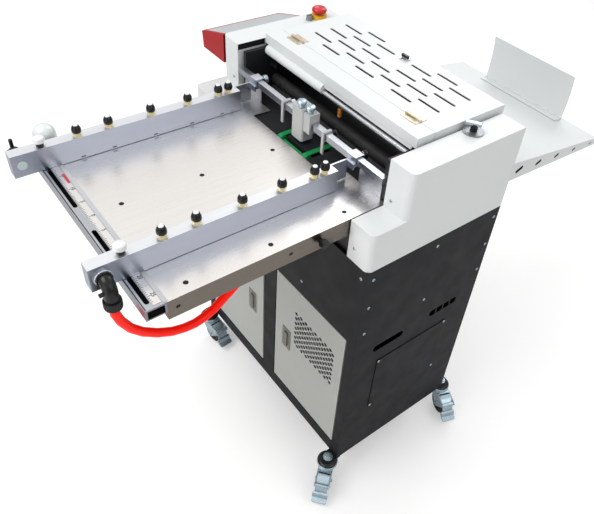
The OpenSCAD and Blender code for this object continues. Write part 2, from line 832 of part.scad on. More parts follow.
module head_frame() in_frame() color("#3a3c40") {
    both_sides() {
        side_plate();
        // Ears that carry the exit nip, seen under the front cover
        box(x_bay - 24, x_bay - joint_gap, y_lid0 + 8, y_lid0 + 20, z_table + 50, z_table + 62);
        // Guides for the creasing beam's ends
        for (y = [y_beam - beam_w / 2 - 8, y_beam + beam_w / 2 + slip])
            box(x_bay - 8, x_bay - joint_gap, y, y + 8 - slip, z_bed + joint_gap, z_plate);
    }
    table_arms();
    difference() {
        box(-x_bay + joint_gap, x_bay - joint_gap, y_plate0, y_plate0 + 5,
            z_deck, table_under - arm_h);
        rod_y(spigot_r - 3, y_plate0 - 1, y_plate0 + 6, hose_end_x, hose_end_z);
    }
    bed_plate();
    // The anvil under the creasing beam
    box(-x_bay + joint_gap, x_bay - joint_gap, y_beam - 14, y_beam + 14,
        z_bed + joint_gap, z_anvil);
    suction_box();
}

// Side outline of a cover, from its front at y0, standing on the deck
module cover_outline(wall) {
    polygon([[y_front + wall, z_deck - (wall > 0 ? 1 : 0)], [y_front + wall, z_step - wall],
        [y_step + wall, z_step - wall], [y_step + wall, z_cover - wall],
        [y_rear - wall, z_cover - wall], [y_rear - wall, z_deck - (wall > 0 ? 1 : 0)]]);
}

// A cover's plan from y0 back, rounded at its outer front corner only
module cover_plan(y0, wall) {
    w = cover_w - 2 * wall;
    d = y_rear - y0 - 2 * wall;
    translate([x_cover + wall, y0 + wall]) {
        round_rect(w, d, cover_round - wall);
        square([w / 2, d]);
        translate([0, d / 2]) square([w, d / 2]);
    }
}

module cover_solid(wall) {
    intersection() {
        along_x(x_cover + wall, x_cab - wall) cover_outline(wall);
        translate([0, 0, z_deck - 2]) linear_extrude(cover_h + 4) cover_plan(y_front, wall);
        union() {
            translate([0, 0, z_deck - 2]) linear_extrude(cover_h + 4) cover_plan(y_step, wall);
            box(x_cover, x_cab, y_front, y_rear, z_deck - 2, z_step - wall);
        }
    }
}

module cover_shell() {
    difference() {
        cover_solid(0);
        cover_solid(cover_t);
    }
}

module right_side_cover() in_frame() color(cover_white) {
    difference() {
        cover_shell();
        rod_z(spindle_r + 1, z_cover - cover_t - 1, z_cover + 1, x_dial, y_dial);
    }
}

module left_housing() in_frame() color(cover_white) {
    difference() {
        mirror([1, 0, 0]) cover_shell();
        rod_z(9, z_cover - cover_t - 1, z_cover + 1, -x_controls, y_stop);
    }
}

console_t = 2.5;

module console_outline(wall) {
    polygon([[-x_cab, z_cover - 2 - wall * 1.1],
        [-x_cab - console_w + wall, z_cover - console_fall - wall * 1.1],
        [-x_cab - console_w + wall + 6, z_cover - console_h + wall],
        [-x_cab, z_cover - console_h + wall]]);
}

module console_shell() in_frame() color(red) {
    difference() {
        along_y(y_step, y_step + console_l) console_outline(0);
        along_y(y_step + console_t, y_step + console_l - console_t) console_outline(console_t);
    }
}

module front_cover() in_frame() color(cover_white) {
    difference() {
        box(-x_lid, x_lid, y_lid0, seam_y - y_seam_gap, z_skirt, z_lid);
        box(-x_lid + lid_t, x_lid - lid_t, y_lid0 + lid_t, seam_y, z_skirt - 1, z_lid - lid_t);
    }
}

// A tube on the left; on the right a thin rod under a low lip of sheet
module guard_tube() in_frame() color("#e8eaec") {
    y = y_lid0 + guard_d * 0.1;
    z = z_skirt - guard_d / 2 - 0.5;
    difference() {
        rod_x(guard_d / 2, -x_bay, x_guard, y, z);
        rod_x(guard_d / 2 - 2, -x_bay + 2, x_guard - 8, y, z);
    }
    rod_x(5.5, x_guard - 4, x_bay, y - 4, z - 6);
    box(x_guard + slip, x_bay, y_lid0, y_lid0 + 2, z_skirt - 9, z_skirt - slip);
}

hinge_x = 208;
hinge_l = 46;
hinge_leaf = 17;
hinge_leaf_t = 1.5;
knuckle_r = 3.2;
hinge_pin_r = 1.5;
z_hinge = z_lid + knuckle_r;

// One leaf of a lid hinge with the knuckles between the given bounds
module hinge_leaf_piece(side, spans) {
    y0 = side < 0 ? seam_y - hinge_leaf : seam_y + 1;
    box(-hinge_l / 2, hinge_l / 2, y0, y0 + hinge_leaf - 1, z_lid, z_lid + hinge_leaf_t);
    for (s = spans) {
        rod_x(knuckle_r, s[0], s[1], seam_y, z_hinge);
        box(s[0], s[1], side < 0 ? seam_y - knuckle_r - 1 : seam_y, side < 0 ? seam_y : seam_y + knuckle_r + 1,
            z_lid, z_lid + hinge_leaf_t);
    }
}

module lid_hinges() in_frame() color(brass) {
    third = hinge_l / 3;
    for (s = [-1, 1]) translate([s * hinge_x, 0, 0]) {
        difference() {
            hinge_leaf_piece(-1, [[-hinge_l / 2, -third / 2], [third / 2, hinge_l / 2]]);
            rod_x(knuckle_r + 1.2, -third / 2, third / 2, seam_y, z_hinge);
        }
        rod_x(hinge_pin_r, -hinge_l / 2 - 1, hinge_l / 2 + 1, seam_y, z_hinge);
    }
}

module top_lid() in_frame() color(cover_white) {
    third = hinge_l / 3;
    row_y = seam_y + 40;
    difference() {
        union() {
            difference() {
                box(-x_lid, x_lid, seam_y, y_lid1, z_skirt, z_lid);
                box(-x_lid + lid_t, x_lid - lid_t, seam_y + lid_t, y_lid1 - lid_t,
                    z_skirt - 1, z_lid - lid_t);
            }
            for (s = [-1, 1]) translate([s * hinge_x, 0, 0])
                hinge_leaf_piece(1, [[-third / 2 + 0.4, third / 2 - 0.4]]);
        }
        // Staggered slots, left out round the latch
        for (j = [0 : 6], i = [-2 : 1 + (j + 1) % 2]) {
            x = (i + (j % 2) * 0.5) * lid_slot_px;
            y = row_y + j * lid_slot_py;
            if (abs(x) < x_lid - lid_slot_l / 2 - 10 && !(j >= 4 && abs(x) < 10))
                translate([x, y, z_lid - lid_t - 1]) linear_extrude(lid_t + 2)
                    stadium(lid_slot_l, lid_slot_w);
        }
        rod_z(spindle_r - 1 + run_fit, z_lid - lid_t - 1, z_lid + 1, 0, latch_y);
        for (s = [-1, 1]) rod_x(hinge_pin_r + run_fit, s * hinge_x - hinge_l, s * hinge_x + hinge_l,
            seam_y, z_hinge);
        for (s = [-1, 1]) for (k = [-1, 1])
            rod_x(knuckle_r + 0.4, s * hinge_x + (k < 0 ? -hinge_l / 2 - 1 : third / 2 - 0.4),
                s * hinge_x + (k < 0 ? -third / 2 + 0.4 : hinge_l / 2 + 1), seam_y, z_hinge);
    }
}

latch_y = seam_y + 169;

module lid_latch() in_frame() color(black) translate([0, latch_y, z_lid]) {
    translate([0, 0, 0.4]) cylinder(r = 12, h = 2.6);
    translate([0, 0, 3]) linear_extrude(8) stadium(22, 6);
    translate([0, 0, -lid_t - 3]) cylinder(r = spindle_r - 1, h = lid_t + 4);
    translate([-6, -6, -lid_t - 5.5]) cube([22, 12, 2.5]);
}

module dial_plate() in_frame() color("#e3e5e6") translate([x_dial, y_dial, z_cover]) {
    difference() {
        cylinder(d = dial_d, h = 3);
        translate([0, 0, -1]) cylinder(r = spindle_r + run_fit, h = 5);
    }
}

module dial_lever() in_frame() color(zinc) translate([x_dial, y_dial, z_cover + 3]) {
    translate([0, 0, -cover_t - 12]) cylinder(r = spindle_r, h = cover_t + 14);
    translate([0, 0, 0.4]) cylinder(r = 8, h = 16);
    rotate(215) translate([lever_l - 35, -6, 14]) cube([35, 12, 6]);
}

module estop_collar() in_frame() color("#f2c230") translate([-x_controls, y_stop, z_cover]) {
    difference() {
        union() {
            cylinder(r = collar_r, h = collar_h);
            translate([0, 0, -cover_t - 22]) cylinder(r = 8.9, h = cover_t + 23);
        }
        translate([0, 0, -cover_t - 8]) cylinder(r = 6 + run_fit, h = 40);
    }
    translate([0, y_key - y_stop, 0]) cylinder(r = 8, h = 12);
}

module estop_button() in_frame() color(red) translate([-x_controls, y_stop, z_cover]) {
    translate([0, 0, -2]) cylinder(r = 6, h = collar_h + stop_travel + 4);
    translate([0, 0, collar_h + stop_travel + slip]) rotate_extrude() polygon([[0, 0],
        [stop_d / 2 - 4, 0], [stop_d / 2, 4], [stop_d / 2, 8], [stop_d / 2 - 3, 11.5],
        [stop_d / 2 - 8, 13], [0, 13.5]]);
}

// ---------- rollers, beam, drives ----------

module roller(r, z) {
    rod_x(shaft_r, -x_plate - 6, x_plate + 6, y_feed, z);
    rod_x(r, -x_bay + 6, x_bay - 6, y_feed, z);
}

module feed_roller() in_frame() color(black) roller(feed_r, z_feed);

module pinch_roller() in_frame() color(steel) roller(pinch_r, z_pinch);

module crease_beam() in_frame() color(steel) {
    z0 = z_anvil + beam_lift;
    box(-x_beam, x_beam, y_beam - beam_w / 2, y_beam + beam_w / 2, z0 + 12, z0 + 12 + beam_h);
    box(-x_beam + 20, x_beam - 20, y_beam - blade_t, y_beam + blade_t, z0, z0 + 12);
}

motor_r = 34;

module drive_motor() in_frame() color("#4a4d52") {
    x0 = 60;
    z = z_deck + motor_r + 6;
    y = y_beam + 30;
    rod_x(motor_r, x0, x0 + 110, y, z);
    rod_x(motor_r + 5, x0 - 8, x0, y, z);
    rod_x(7, x0 - 30, x0 - 8, y, z);
    rod_x(16, x0 - 30, x0 - 14, y, z);
    box(x0 + 5, x0 + 105, y - motor_r + 6, y + motor_r - 6, z_deck, z_deck + 14);
}

blower_x = -150;
blower_y = 40;
blower_r = 105;
blower_w = 80;
blower_z = z_cab + deck_t + blower_r + 12;
blower_pipe_x = 150;
blower_pipe_y = y_plate0 + 40;
hose_end_x = 190;
hose_end_z = z_deck + 33;
y_hose_end = -240;

module blower() in_frame() color("#7d8287") {
    y_drum = blower_y + blower_w / 2;
    z_run = blower_z + blower_r + 8;
    pipe_r = spigot_r + 3;
    z_elbow = z_deck + 14;
    difference() {
        rod_y(blower_r, blower_y, blower_y + blower_w, blower_x, blower_z);
        for (a = [0 : 30 : 359]) translate([blower_x, 0, blower_z]) rotate([0, a, 0])
            rod_y(5, blower_y + blower_w - 8, blower_y + blower_w + 1, blower_r - 22, 0);
    }
    rod_y(62, blower_y - 110, blower_y, blower_x, blower_z);
    box(blower_x - 90, blower_x + 90, blower_y - 90, blower_y + blower_w - 10,
        z_cab + deck_t, z_cab + deck_t + 16);
    // The outlet runs along the cabinet and up through the deck to the hose's spigot
    rod_z(pipe_r, blower_z + blower_r - 20, z_run, blower_x, y_drum);
    rod_x(pipe_r, blower_x, blower_pipe_x, y_drum, z_run);
    rod_y(pipe_r, blower_pipe_y, y_drum, blower_pipe_x, z_run);
    rod_z(pipe_r, z_run, z_elbow, blower_pipe_x, blower_pipe_y);
    rod_x(spigot_r + 2, blower_pipe_x, hose_end_x, blower_pipe_y, z_elbow);
    rod_z(spigot_r + 2, z_elbow, hose_end_z, hose_end_x, blower_pipe_y);
    rod_y(spigot_r - 3 - run_fit, y_plate0 - 2, blower_pipe_y, hose_end_x, hose_end_z);
    rod_y(spigot_r, y_hose_end, y_plate0, hose_end_x, hose_end_z);
}

// ---------- feed table ----------

module feed_table() in_frame() color(bright_alu) {
    z_flange = z_table - flange_h;
    difference() {
        union() {
            box(-x_table, x_table, y_table0, y_table1, table_under, z_table);
            both_sides() box(150, x_table, y_table1 - eps, y_bar_rear - 2, table_under, z_table);
            both_sides() box(x_table - table_t, x_table, y_table0, y_table1, z_flange, z_table);
            box(-x_table, x_table, y_table0, y_table0 + table_t, z_flange, z_table);
        }
        for (x = [-screw_x, -5, screw_x], y = screw_y)
            rod_z(screw_r, table_under - 1, z_table + 1, x, y);
        for (i = [0, 1]) rod_x(bracket_hole_r, -x_table - 1, x_table + 1,
            y_table0 + 20 + i * bracket_pitch, z_flange + flange_h / 2);
    }
    // Thumb knob on the right flange
    rod_x(5, x_table, x_table + 8, y_front - 76, z_flange + flange_h * 0.55);
    rod_x(9, x_table + 8, x_table + 20, y_front - 76, z_flange + flange_h * 0.55);
}

module ruler_rail() in_frame() color(steel) {
    slot_l = x_slot_end - x_slot_gap;
    difference() {
        box(-x_table, x_table, y_rail0, y_table0, z_table - rail_h, z_table);
        box(-x_table - 1, x_table + 1, y_rail0 + rail_t, y_table0 - rail_t,
            z_table - rail_h + 2, z_table - rail_t);
        for (s = [-1, 1]) translate([s * (x_slot_gap + slot_l / 2), y_slot, z_table - rail_t - 1])
            linear_extrude(rail_t + 2) stadium(slot_l, slot_w);
    }
}

module crossbar() in_frame() color(bright_alu) {
    box(-x_plate, x_plate, y_bar - bar_s / 2, y_bar_rear, z_bar, z_bar + bar_s);
    // Upright sheets under the bar's ends
    both_sides() {
        box(x_bay - 72, x_bay, y_bar_rear - 2, y_bar_rear, z_table, z_bar - 6);
        box(x_bay - 2, x_bay, y_bar_rear - 2, y_bar_rear, z_bar - 7, z_bar + 1);
    }
}

module suction_belt() in_frame() color(belt_green) {
    for (s = [-1, 1]) {
        x0 = s * (belt_bay - 14) - belt_w / 2;
        difference() {
            union() {
                for (y = [y_belt0, y_belt1]) rod_x(drum_r + belt_t, x0, x0 + belt_w, y, z_belt);
                box(x0, x0 + belt_w, y_belt0, y_belt1, z_belt - drum_r - belt_t,
                    z_belt + drum_r + belt_t);
            }
            box(x0 - 1, x0 + belt_w + 1, y_belt0, y_belt1, z_belt - drum_r, z_belt + drum_r);
            for (y = [y_belt0, y_belt1]) rod_x(drum_r, x0 - 1, x0 + belt_w + 1, y, z_belt);
        }
    }
    for (y = [y_belt0, y_belt1]) {
        for (s = [-1, 1]) rod_x(drum_r - run_fit, s * (belt_bay - 14) - belt_w / 2 - 1,
            s * (belt_bay - 14) + belt_w / 2 + 1, y, z_belt);
        rod_x(4, -belt_bay - 6, belt_bay + 6, y, z_belt);
    }
}

// ---------- separator ----------

sep_x1 = 11;                  // right face of the main block
sep_half_y = 18;
sep_z = z_table + sep_gap;
sep_side_w = 22;              // the smaller block beside it
arm_x = [-76, 78];
sep_knobs = [[-5, y_bar - 9, sep_z + sep_h], [20, y_bar - 3, sep_z + sep_h - 4]];

// A block that wraps the crossbar, w wide, centred on x
module bar_clamp(x, w, wall) {
    c = bar_s / 2 + bar_clear;
    difference() {
        box(x - w / 2, x + w / 2, y_bar - c - wall, y_bar + c + wall,
            z_bar - bar_clear - wall, z_bar + bar_s + bar_clear + wall);
        box(x - w / 2 - 1, x + w / 2 + 1, y_bar - c, y_bar + c,
            z_bar - bar_clear, z_bar + bar_s + bar_clear);
    }
}

module separator() in_frame() color("#8e9296") {
    c = bar_s / 2 + bar_clear;
    for (x = arm_x) {
        bar_clamp(x, 8, 4);
        box(x - 4, x + 4, y_bar - c - 4, y_bar - c, z_table + 12, z_bar);
        rod_y(7, y_bar + c + 4, y_bar + c + 16, x, z_bar + bar_s / 2);
    }
    // The bar that links the arms, behind the crossbar
    box(arm_x[0] - 4, arm_x[1] + 4, y_bar + c + 4 - eps, y_bar + c + 7, z_bar + 1, z_bar + 9);
    // The main block, round the crossbar, and the smaller one beside it
    difference() {
        union() {
            translate([sep_x1 - sep_w, y_bar - sep_half_y, sep_z])
                linear_extrude(sep_h) round_rect(sep_w, 2 * sep_half_y, 7);
            box(sep_x1 - 8, sep_x1 + sep_side_w, y_bar - 14, y_bar + 14,
                sep_z + 30, sep_z + sep_h - 4);
        }
        box(sep_x1 - sep_w - 1, sep_x1 + sep_side_w + 1, y_bar - c, y_bar + c,
            z_bar - bar_clear, z_bar + bar_s + bar_clear);
        for (k = sep_knobs) rod_z(lock_r + run_fit, k.z - 12, k.z + 1, k.x, k.y);
    }
}

module separator_knob(at) in_frame() translate(at) {
    translate([0, 0, -10]) cylinder(r = lock_r, h = 12);
    translate([0, 0, slip]) cylinder(r = 7.5, h = 8);
    translate([0, 0, 8]) rotate_extrude() polygon([[0, 0], [9, 0], [11, 2], [11, 7], [9, 9], [0, 10]]);
}

module separator_knob_left() color("#e9eaec") separator_knob(sep_knobs[0]);

module separator_knob_right() color("#e9eaec") separator_knob(sep_knobs[1]);

// ---------- air guides ----------

// A guide drawn with its middle on x = 0; its nozzles face the side given
module guide(x, face) {
    c = bar_s / 2 + bar_clear;
    x0 = x - guide_w / 2;
    x1 = x + guide_w / 2;
    difference() {
        box(x0, x1, y_guide0, y_guide1, z_guide, z_guide1);
        box(x0 + guide_t, x1 - guide_t, y_guide0 + 80, y_guide1 + 1,
            z_guide + guide_t, z_guide1 - guide_t);
        rod_z(lock_r + run_fit, z_guide - 1, z_guide1 + 1, x, lock_y);
        for (v = valve_at) {
            rod_z(4, z_guide1 - guide_t - 1, z_guide1 + 1, x, y_guide0 + v);
            translate([face > 0 ? x1 - guide_t - 1 : x0 - 1, y_guide0 + v - nozzle_l / 2, z_guide + 3])
                cube([guide_t + 2, nozzle_l, nozzle_h]);
        }
        rod_x(6, face > 0 ? x0 - 1 : x, face > 0 ? x : x1 + 1, elbow_y, elbow_z);
    }
    // The rear plate that hangs the guide on the crossbar
    box(x0, x0 + 4, y_guide1 - eps, y_bar - c - 4, z_guide + 4, z_guide1);
    bar_clamp(x, guide_w, 4);
    box(x0, x1, y_bar - c - 8, y_bar - c - 4 + eps, z_bar - 10, z_guide1);
    rod_y(3, y_bar + c + 4 - eps, y_bar + c + 10, x, z_bar + bar_s / 2);
    rod_y(10, y_bar + c + 10 - eps, y_bar + c + 20, x, z_bar + bar_s / 2);
}

module near_guide() in_frame() color(bright_alu) guide(near_x, -1);

module far_guide() in_frame() color(bright_alu) {
    guide(far_x, 1);
    // Blanking plug of the unused port on the inner face
    rod_x(5, far_x + guide_w / 2, far_x + guide_w / 2 + 1.5, elbow_y, elbow_z);
}

module valves(x) {
    for (v = valve_at) translate([x, y_guide0 + v, z_guide1]) {
        translate([0, 0, -guide_t - 2]) cylinder(r = 4 - run_fit, h = guide_t + 3);
        cylinder(r = 9, h = 5.5, $fn = 6);
        translate([0, 0, 5.5]) cylinder(r = 6.5, h = 1.5);
        translate([0, 0, 7]) cylinder(r = 10, h = 9);
        translate([0, 0, 16]) cylinder(r1 = 9.6, r2 = 6.4, h = 7.5);
        translate([0, 0, 23]) cylinder(r = 5.4, h = 1.5);
    }
}

module near_valves() in_frame() color(brass) valves(near_x);

module far_valves() in_frame() color(brass) valves(far_x);

// A knob on a screw that passes the guide and grips the rail's slot from below
module lock_knob(x) {
    z_nut = z_table - rail_t - 1;
    rod_z(lock_r, z_nut - 8, z_guide1 + 2, x, lock_y);
    rod_z(slot_w / 2 + 2.5, z_nut - 8, z_nut, x, lock_y);
    rod_z(lock_d / 2 - 4, z_guide1 + slip, z_guide1 + 9, x, lock_y);
    translate([x, lock_y, z_guide1 + 9]) rotate_extrude()
        polygon([[0, 0], [lock_d / 2 - 1, 0], [lock_d / 2, 2], [lock_d / 2, 8],
            [lock_d / 2 - 3, 11], [0, 12]]);
}

module near_lock_knob() in_frame() color("#e9eaec") lock_knob(near_x);

module far_lock_knob() in_frame() color("#e9eaec") lock_knob(far_x);

// A pipe elbow: out of the guide's side, round a bend and down
module elbow(x_face, s, reach, z_end) {
    straight = reach - elbow_bend;
    translate([x_face, elbow_y, elbow_z]) mirror([s < 0 ? 1 : 0, 0, 0]) {
        translate([-8, 0, 0]) rotate([0, 90, 0]) cylinder(r = 6 - run_fit, h = 14);
        rotate([0, 90, 0]) cylinder(r = elbow_r + 2, h = straight);
        translate([straight, 0, -elbow_bend]) rotate([90, 0, 0])
            rotate_extrude(angle = 90) translate([elbow_bend, 0]) circle(r = elbow_r);
        translate([reach, 0, z_end - elbow_z]) cylinder(r = elbow_r, h = elbow_z - z_end - elbow_bend);
        translate([reach, 0, z_end - elbow_z]) cylinder(r = elbow_r + 3, h = 18);
    }
}

module near_elbow() in_frame() color(black) {
    x_pipe = near_x + guide_w / 2 + elbow_reach;
    elbow(near_x + guide_w / 2, 1, elbow_reach, z_hose0);
    // Bleed stub at the front of the bend
    rod_y(4, elbow_y - elbow_r - 7, elbow_y, x_pipe, elbow_z - elbow_bend);
}

module far_elbow() in_frame() color(black) {
    x_face = far_x - guide_w / 2;
    bowl_y = elbow_y + 67;
    elbow(x_face, -1, far_reach, z_table + 4);
    rod_z(4, elbow_z - 8, elbow_z + 23, x_face - far_reach - 4, elbow_y);
    // Filter bowl at the far guide's second port
    translate([x_face - far_reach, bowl_y, z_table + 6]) {
        cylinder(r = bowl_r, h = 36);
        translate([0, 0, 36]) intersection() {
            sphere(r = bowl_r);
            cylinder(r = bowl_r + 1, h = bowl_r + 1);
        }
    }
    rod_x(5, x_face - 18, x_face, bowl_y, z_table + 22);
}

// The hose as one skin of rings square to its route
function unit(v) = v / norm(v);
function route_dir(i) = unit(hose_route[min(i + 1, len(hose_route) - 1)] - hose_route[max(i - 1, 0)]);
function ring(i) = let (t = route_dir(i), a = unit(cross(t, [1, 0, 0])), b = cross(t, a))
    [for (k = [0 : hose_sides - 1]) hose_route[i]
        + hose_d / 2 * (a * cos(k * 360 / hose_sides) + b * sin(k * 360 / hose_sides))];

module air_hose() in_frame() color(hose_red) {
    n = len(hose_route);
    m = hose_sides;
    points = [for (i = [0 : n - 1]) each ring(i)];
    walls = [for (i = [0 : n - 2], k = [0 : m - 1]) let (a = i * m + k, b = i * m + (k + 1) % m)
        each [[a, b, b + m], [a, b + m, a + m]]];
    caps = [[for (k = [m - 1 : -1 : 0]) k], [for (k = [0 : m - 1]) (n - 1) * m + k]];
    polyhedron(points, concat(walls, caps));
}

// ---------- delivery ----------

module delivery_tray() in_frame() color(cover_white) {
    drop = tray_t / cos(tray_fall);
    difference() {
        union() {
            along_x(-x_tray, x_tray) polygon([[y_tray0, z_tray0], [y_tray1, z_tray1],
                [y_tray1, z_tray1 - drop], [y_tray0, z_tray0 - drop]]);
            for (x = [-x_tray, x_tray - tray_t]) along_x(x, x + tray_t)
                polygon([[y_tray0, z_tray0], [y_tray1, z_tray1], [y_tray1, z_tray1 - tray_tip],
                    [y_rear + 1, z_tray0 - tray_flange], [y_rear + 1, z_deck + 1],
                    [y_tray0, z_deck + 1]]);
            along_x(-x_tray, x_tray) polygon([[y_tray1 - tray_t, z_tray1],
                [y_tray1, z_tray1], [y_tray1, z_tray1 - tray_tip], [y_tray1 - tray_t, z_tray1 - tray_tip]]);
        }
        for (i = [0 : tray_slots - 1]) along_x(-x_tray - 1, x_tray + 1) {
            y = y_tray0 + tray_slot_y + i * tray_slot_step;
            depth = tray_flange + (tray_tip - tray_flange) * (y - y_tray0) / tray_run;
            translate([y, z_tray0 - (y - y_tray0) * tan(tray_fall) - depth * 0.48])
                rotate(20) stadium(29.5 - 4.9 * i, 11.5 - 1.6 * i);
        }
    }
}

module backstop() in_frame() color(cover_white) {
    y = y_tray1 - 14;
    z = z_tray0 - (y - y_tray0) * tan(tray_fall) + slip;
    bow = 420;
    foot = 34;
    // The plate: a slice of a large thin tube
    intersection() {
        along_x(-stop_w / 2, stop_w / 2) translate([y - bow, z + stop_h * 0.4]) difference() {
            circle(r = bow, $fn = 180);
            circle(r = bow - tray_t, $fn = 180);
        }
        box(-stop_w / 2, stop_w / 2, y - 40, y + 10, z + 4, z + stop_h);
    }
    translate([0, y, z]) rotate([-tray_fall, 0, 0]) translate([-stop_w / 2, -foot, 0.6])
        cube([stop_w, foot - 3, tray_t]);
    box(-stop_w / 2, stop_w / 2, y - 10, y - 3.5, z + 3, z + 8);
}

// ---------- the parts ----------

cabinet_frame();
right_side_panel();
left_side_panel();
rear_panel();
front_band();
access_panel();
panel_screws();
door_hinges();
left_door();
right_door();
left_door_latch();
right_door_latch();
castor_fork_front_right();
castor_fork_rear_right();
castor_fork_front_left();
castor_fork_rear_left();
castor_wheel_front_right();
castor_wheel_rear_right();
castor_wheel_front_left();
castor_wheel_rear_left();
castor_brake_front_right();
castor_brake_rear_right();
castor_brake_front_left();
castor_brake_rear_left();
head_frame();
right_side_cover();
left_housing();
console_shell();
front_cover();
lid_hinges();
estop_collar();
dial_plate();
guard_tube();
top_lid();
lid_latch();
dial_lever();
estop_button();
feed_roller();
pinch_roller();
crease_beam();
drive_motor();
blower();
feed_table();
ruler_rail();
crossbar();
suction_belt();
separator();
separator_knob_left();
separator_knob_right();
near_guide();
far_guide();
near_valves();
far_valves();
near_lock_knob();
far_lock_knob();
near_elbow();
far_elbow();
air_hose();
delivery_tray();
backstop();
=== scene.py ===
"""Studio scene of a floor-standing paper creasing machine, dressed over its CAD frame.

Lengths written here are millimetres in the machine's own frame: X to the operator's right,
Y along the sheet's travel, Z up, with the cabinet's middle at X = Y = 0 and the floor at
Z = 0. Workshop.point turns them into the frame's metres.
"""

from __future__ import annotations

import logging
import math
from abc import ABC, abstractmethod
from collections.abc import Callable, Sequence
from dataclasses import dataclass, field
from enum import Enum

import bpy
from mathutils import Matrix, Vector


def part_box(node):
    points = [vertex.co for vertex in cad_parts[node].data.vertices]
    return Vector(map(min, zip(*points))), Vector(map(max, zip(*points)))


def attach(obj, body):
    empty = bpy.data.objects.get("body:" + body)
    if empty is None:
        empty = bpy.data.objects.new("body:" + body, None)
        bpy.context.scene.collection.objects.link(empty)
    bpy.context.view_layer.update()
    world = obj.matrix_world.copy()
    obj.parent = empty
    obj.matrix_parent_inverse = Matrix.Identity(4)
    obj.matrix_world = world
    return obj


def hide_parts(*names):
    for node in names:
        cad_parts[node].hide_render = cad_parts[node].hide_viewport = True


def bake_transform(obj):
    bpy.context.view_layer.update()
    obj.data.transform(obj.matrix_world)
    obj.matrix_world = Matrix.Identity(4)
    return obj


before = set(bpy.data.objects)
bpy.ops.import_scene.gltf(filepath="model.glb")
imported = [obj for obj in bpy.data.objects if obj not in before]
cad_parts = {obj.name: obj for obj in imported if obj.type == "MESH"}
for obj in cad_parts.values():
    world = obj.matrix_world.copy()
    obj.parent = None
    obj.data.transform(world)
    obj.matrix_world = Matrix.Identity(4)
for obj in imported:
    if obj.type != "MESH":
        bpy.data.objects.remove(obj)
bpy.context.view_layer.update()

log = logging.getLogger("creaser")

Point = tuple[float, float, float]
Profile = Sequence[tuple[float, float]]

MM = 0.001
CASTORS = ("front_right", "rear_right", "front_left", "rear_left")


class Axis(Enum):
    """A direction of the machine's frame."""

    X = (1.0, 0.0, 0.0)
    Y = (0.0, 1.0, 0.0)
    Z = (0.0, 0.0, 1.0)


class Side(Enum):
    """The operator's right or left hand side, as a sign on X."""

    RIGHT = 1
    LEFT = -1


# ---------------------------------------------------------------- materials


def linear(code: str) -> tuple[float, float, float, float]:
    """Turns an sRGB hex colour into the linear one that shaders use.

    Args:
        code: Six hex digits after a hash sign.

    Returns:
        Red, green, blue and an alpha of 1.
    """
    parts = [int(code[i : i + 2], 16) / 255 for i in (1, 3, 5)]
    red, green, blue = (
        p / 12.92 if p <= 0.04045 else ((p + 0.055) / 1.055) ** 2.4 for p in parts
    )
    return (red, green, blue, 1.0)


def add_node(
    tree: bpy.types.NodeTree,
    kind: str,
    settings: dict[str, object] | None = None,
    **inputs: object,
) -> bpy.types.Node:
    """Adds one shader node with its settings, values and links.

    Args:
        tree: The node tree that takes it.
        kind: Blender's type name of the node.
        settings: Attributes set on the node itself.
        **inputs: Input names, with "_" for a space, each a value or an output to link.

    Returns:
        The new node.
    """
    made = tree.nodes.new(kind)
    for name, value in (settings or {}).items():
        setattr(made, name, value)
    for name, value in inputs.items():
        numbered = name.startswith("in") and name[2:].isdigit()
        key = int(name[2:]) if numbered else name.replace("_", " ")
        if isinstance(value, bpy.types.NodeSocket):
            tree.links.new(value, made.inputs[key])
        else:
            made.inputs[key].default_value = value
    return made


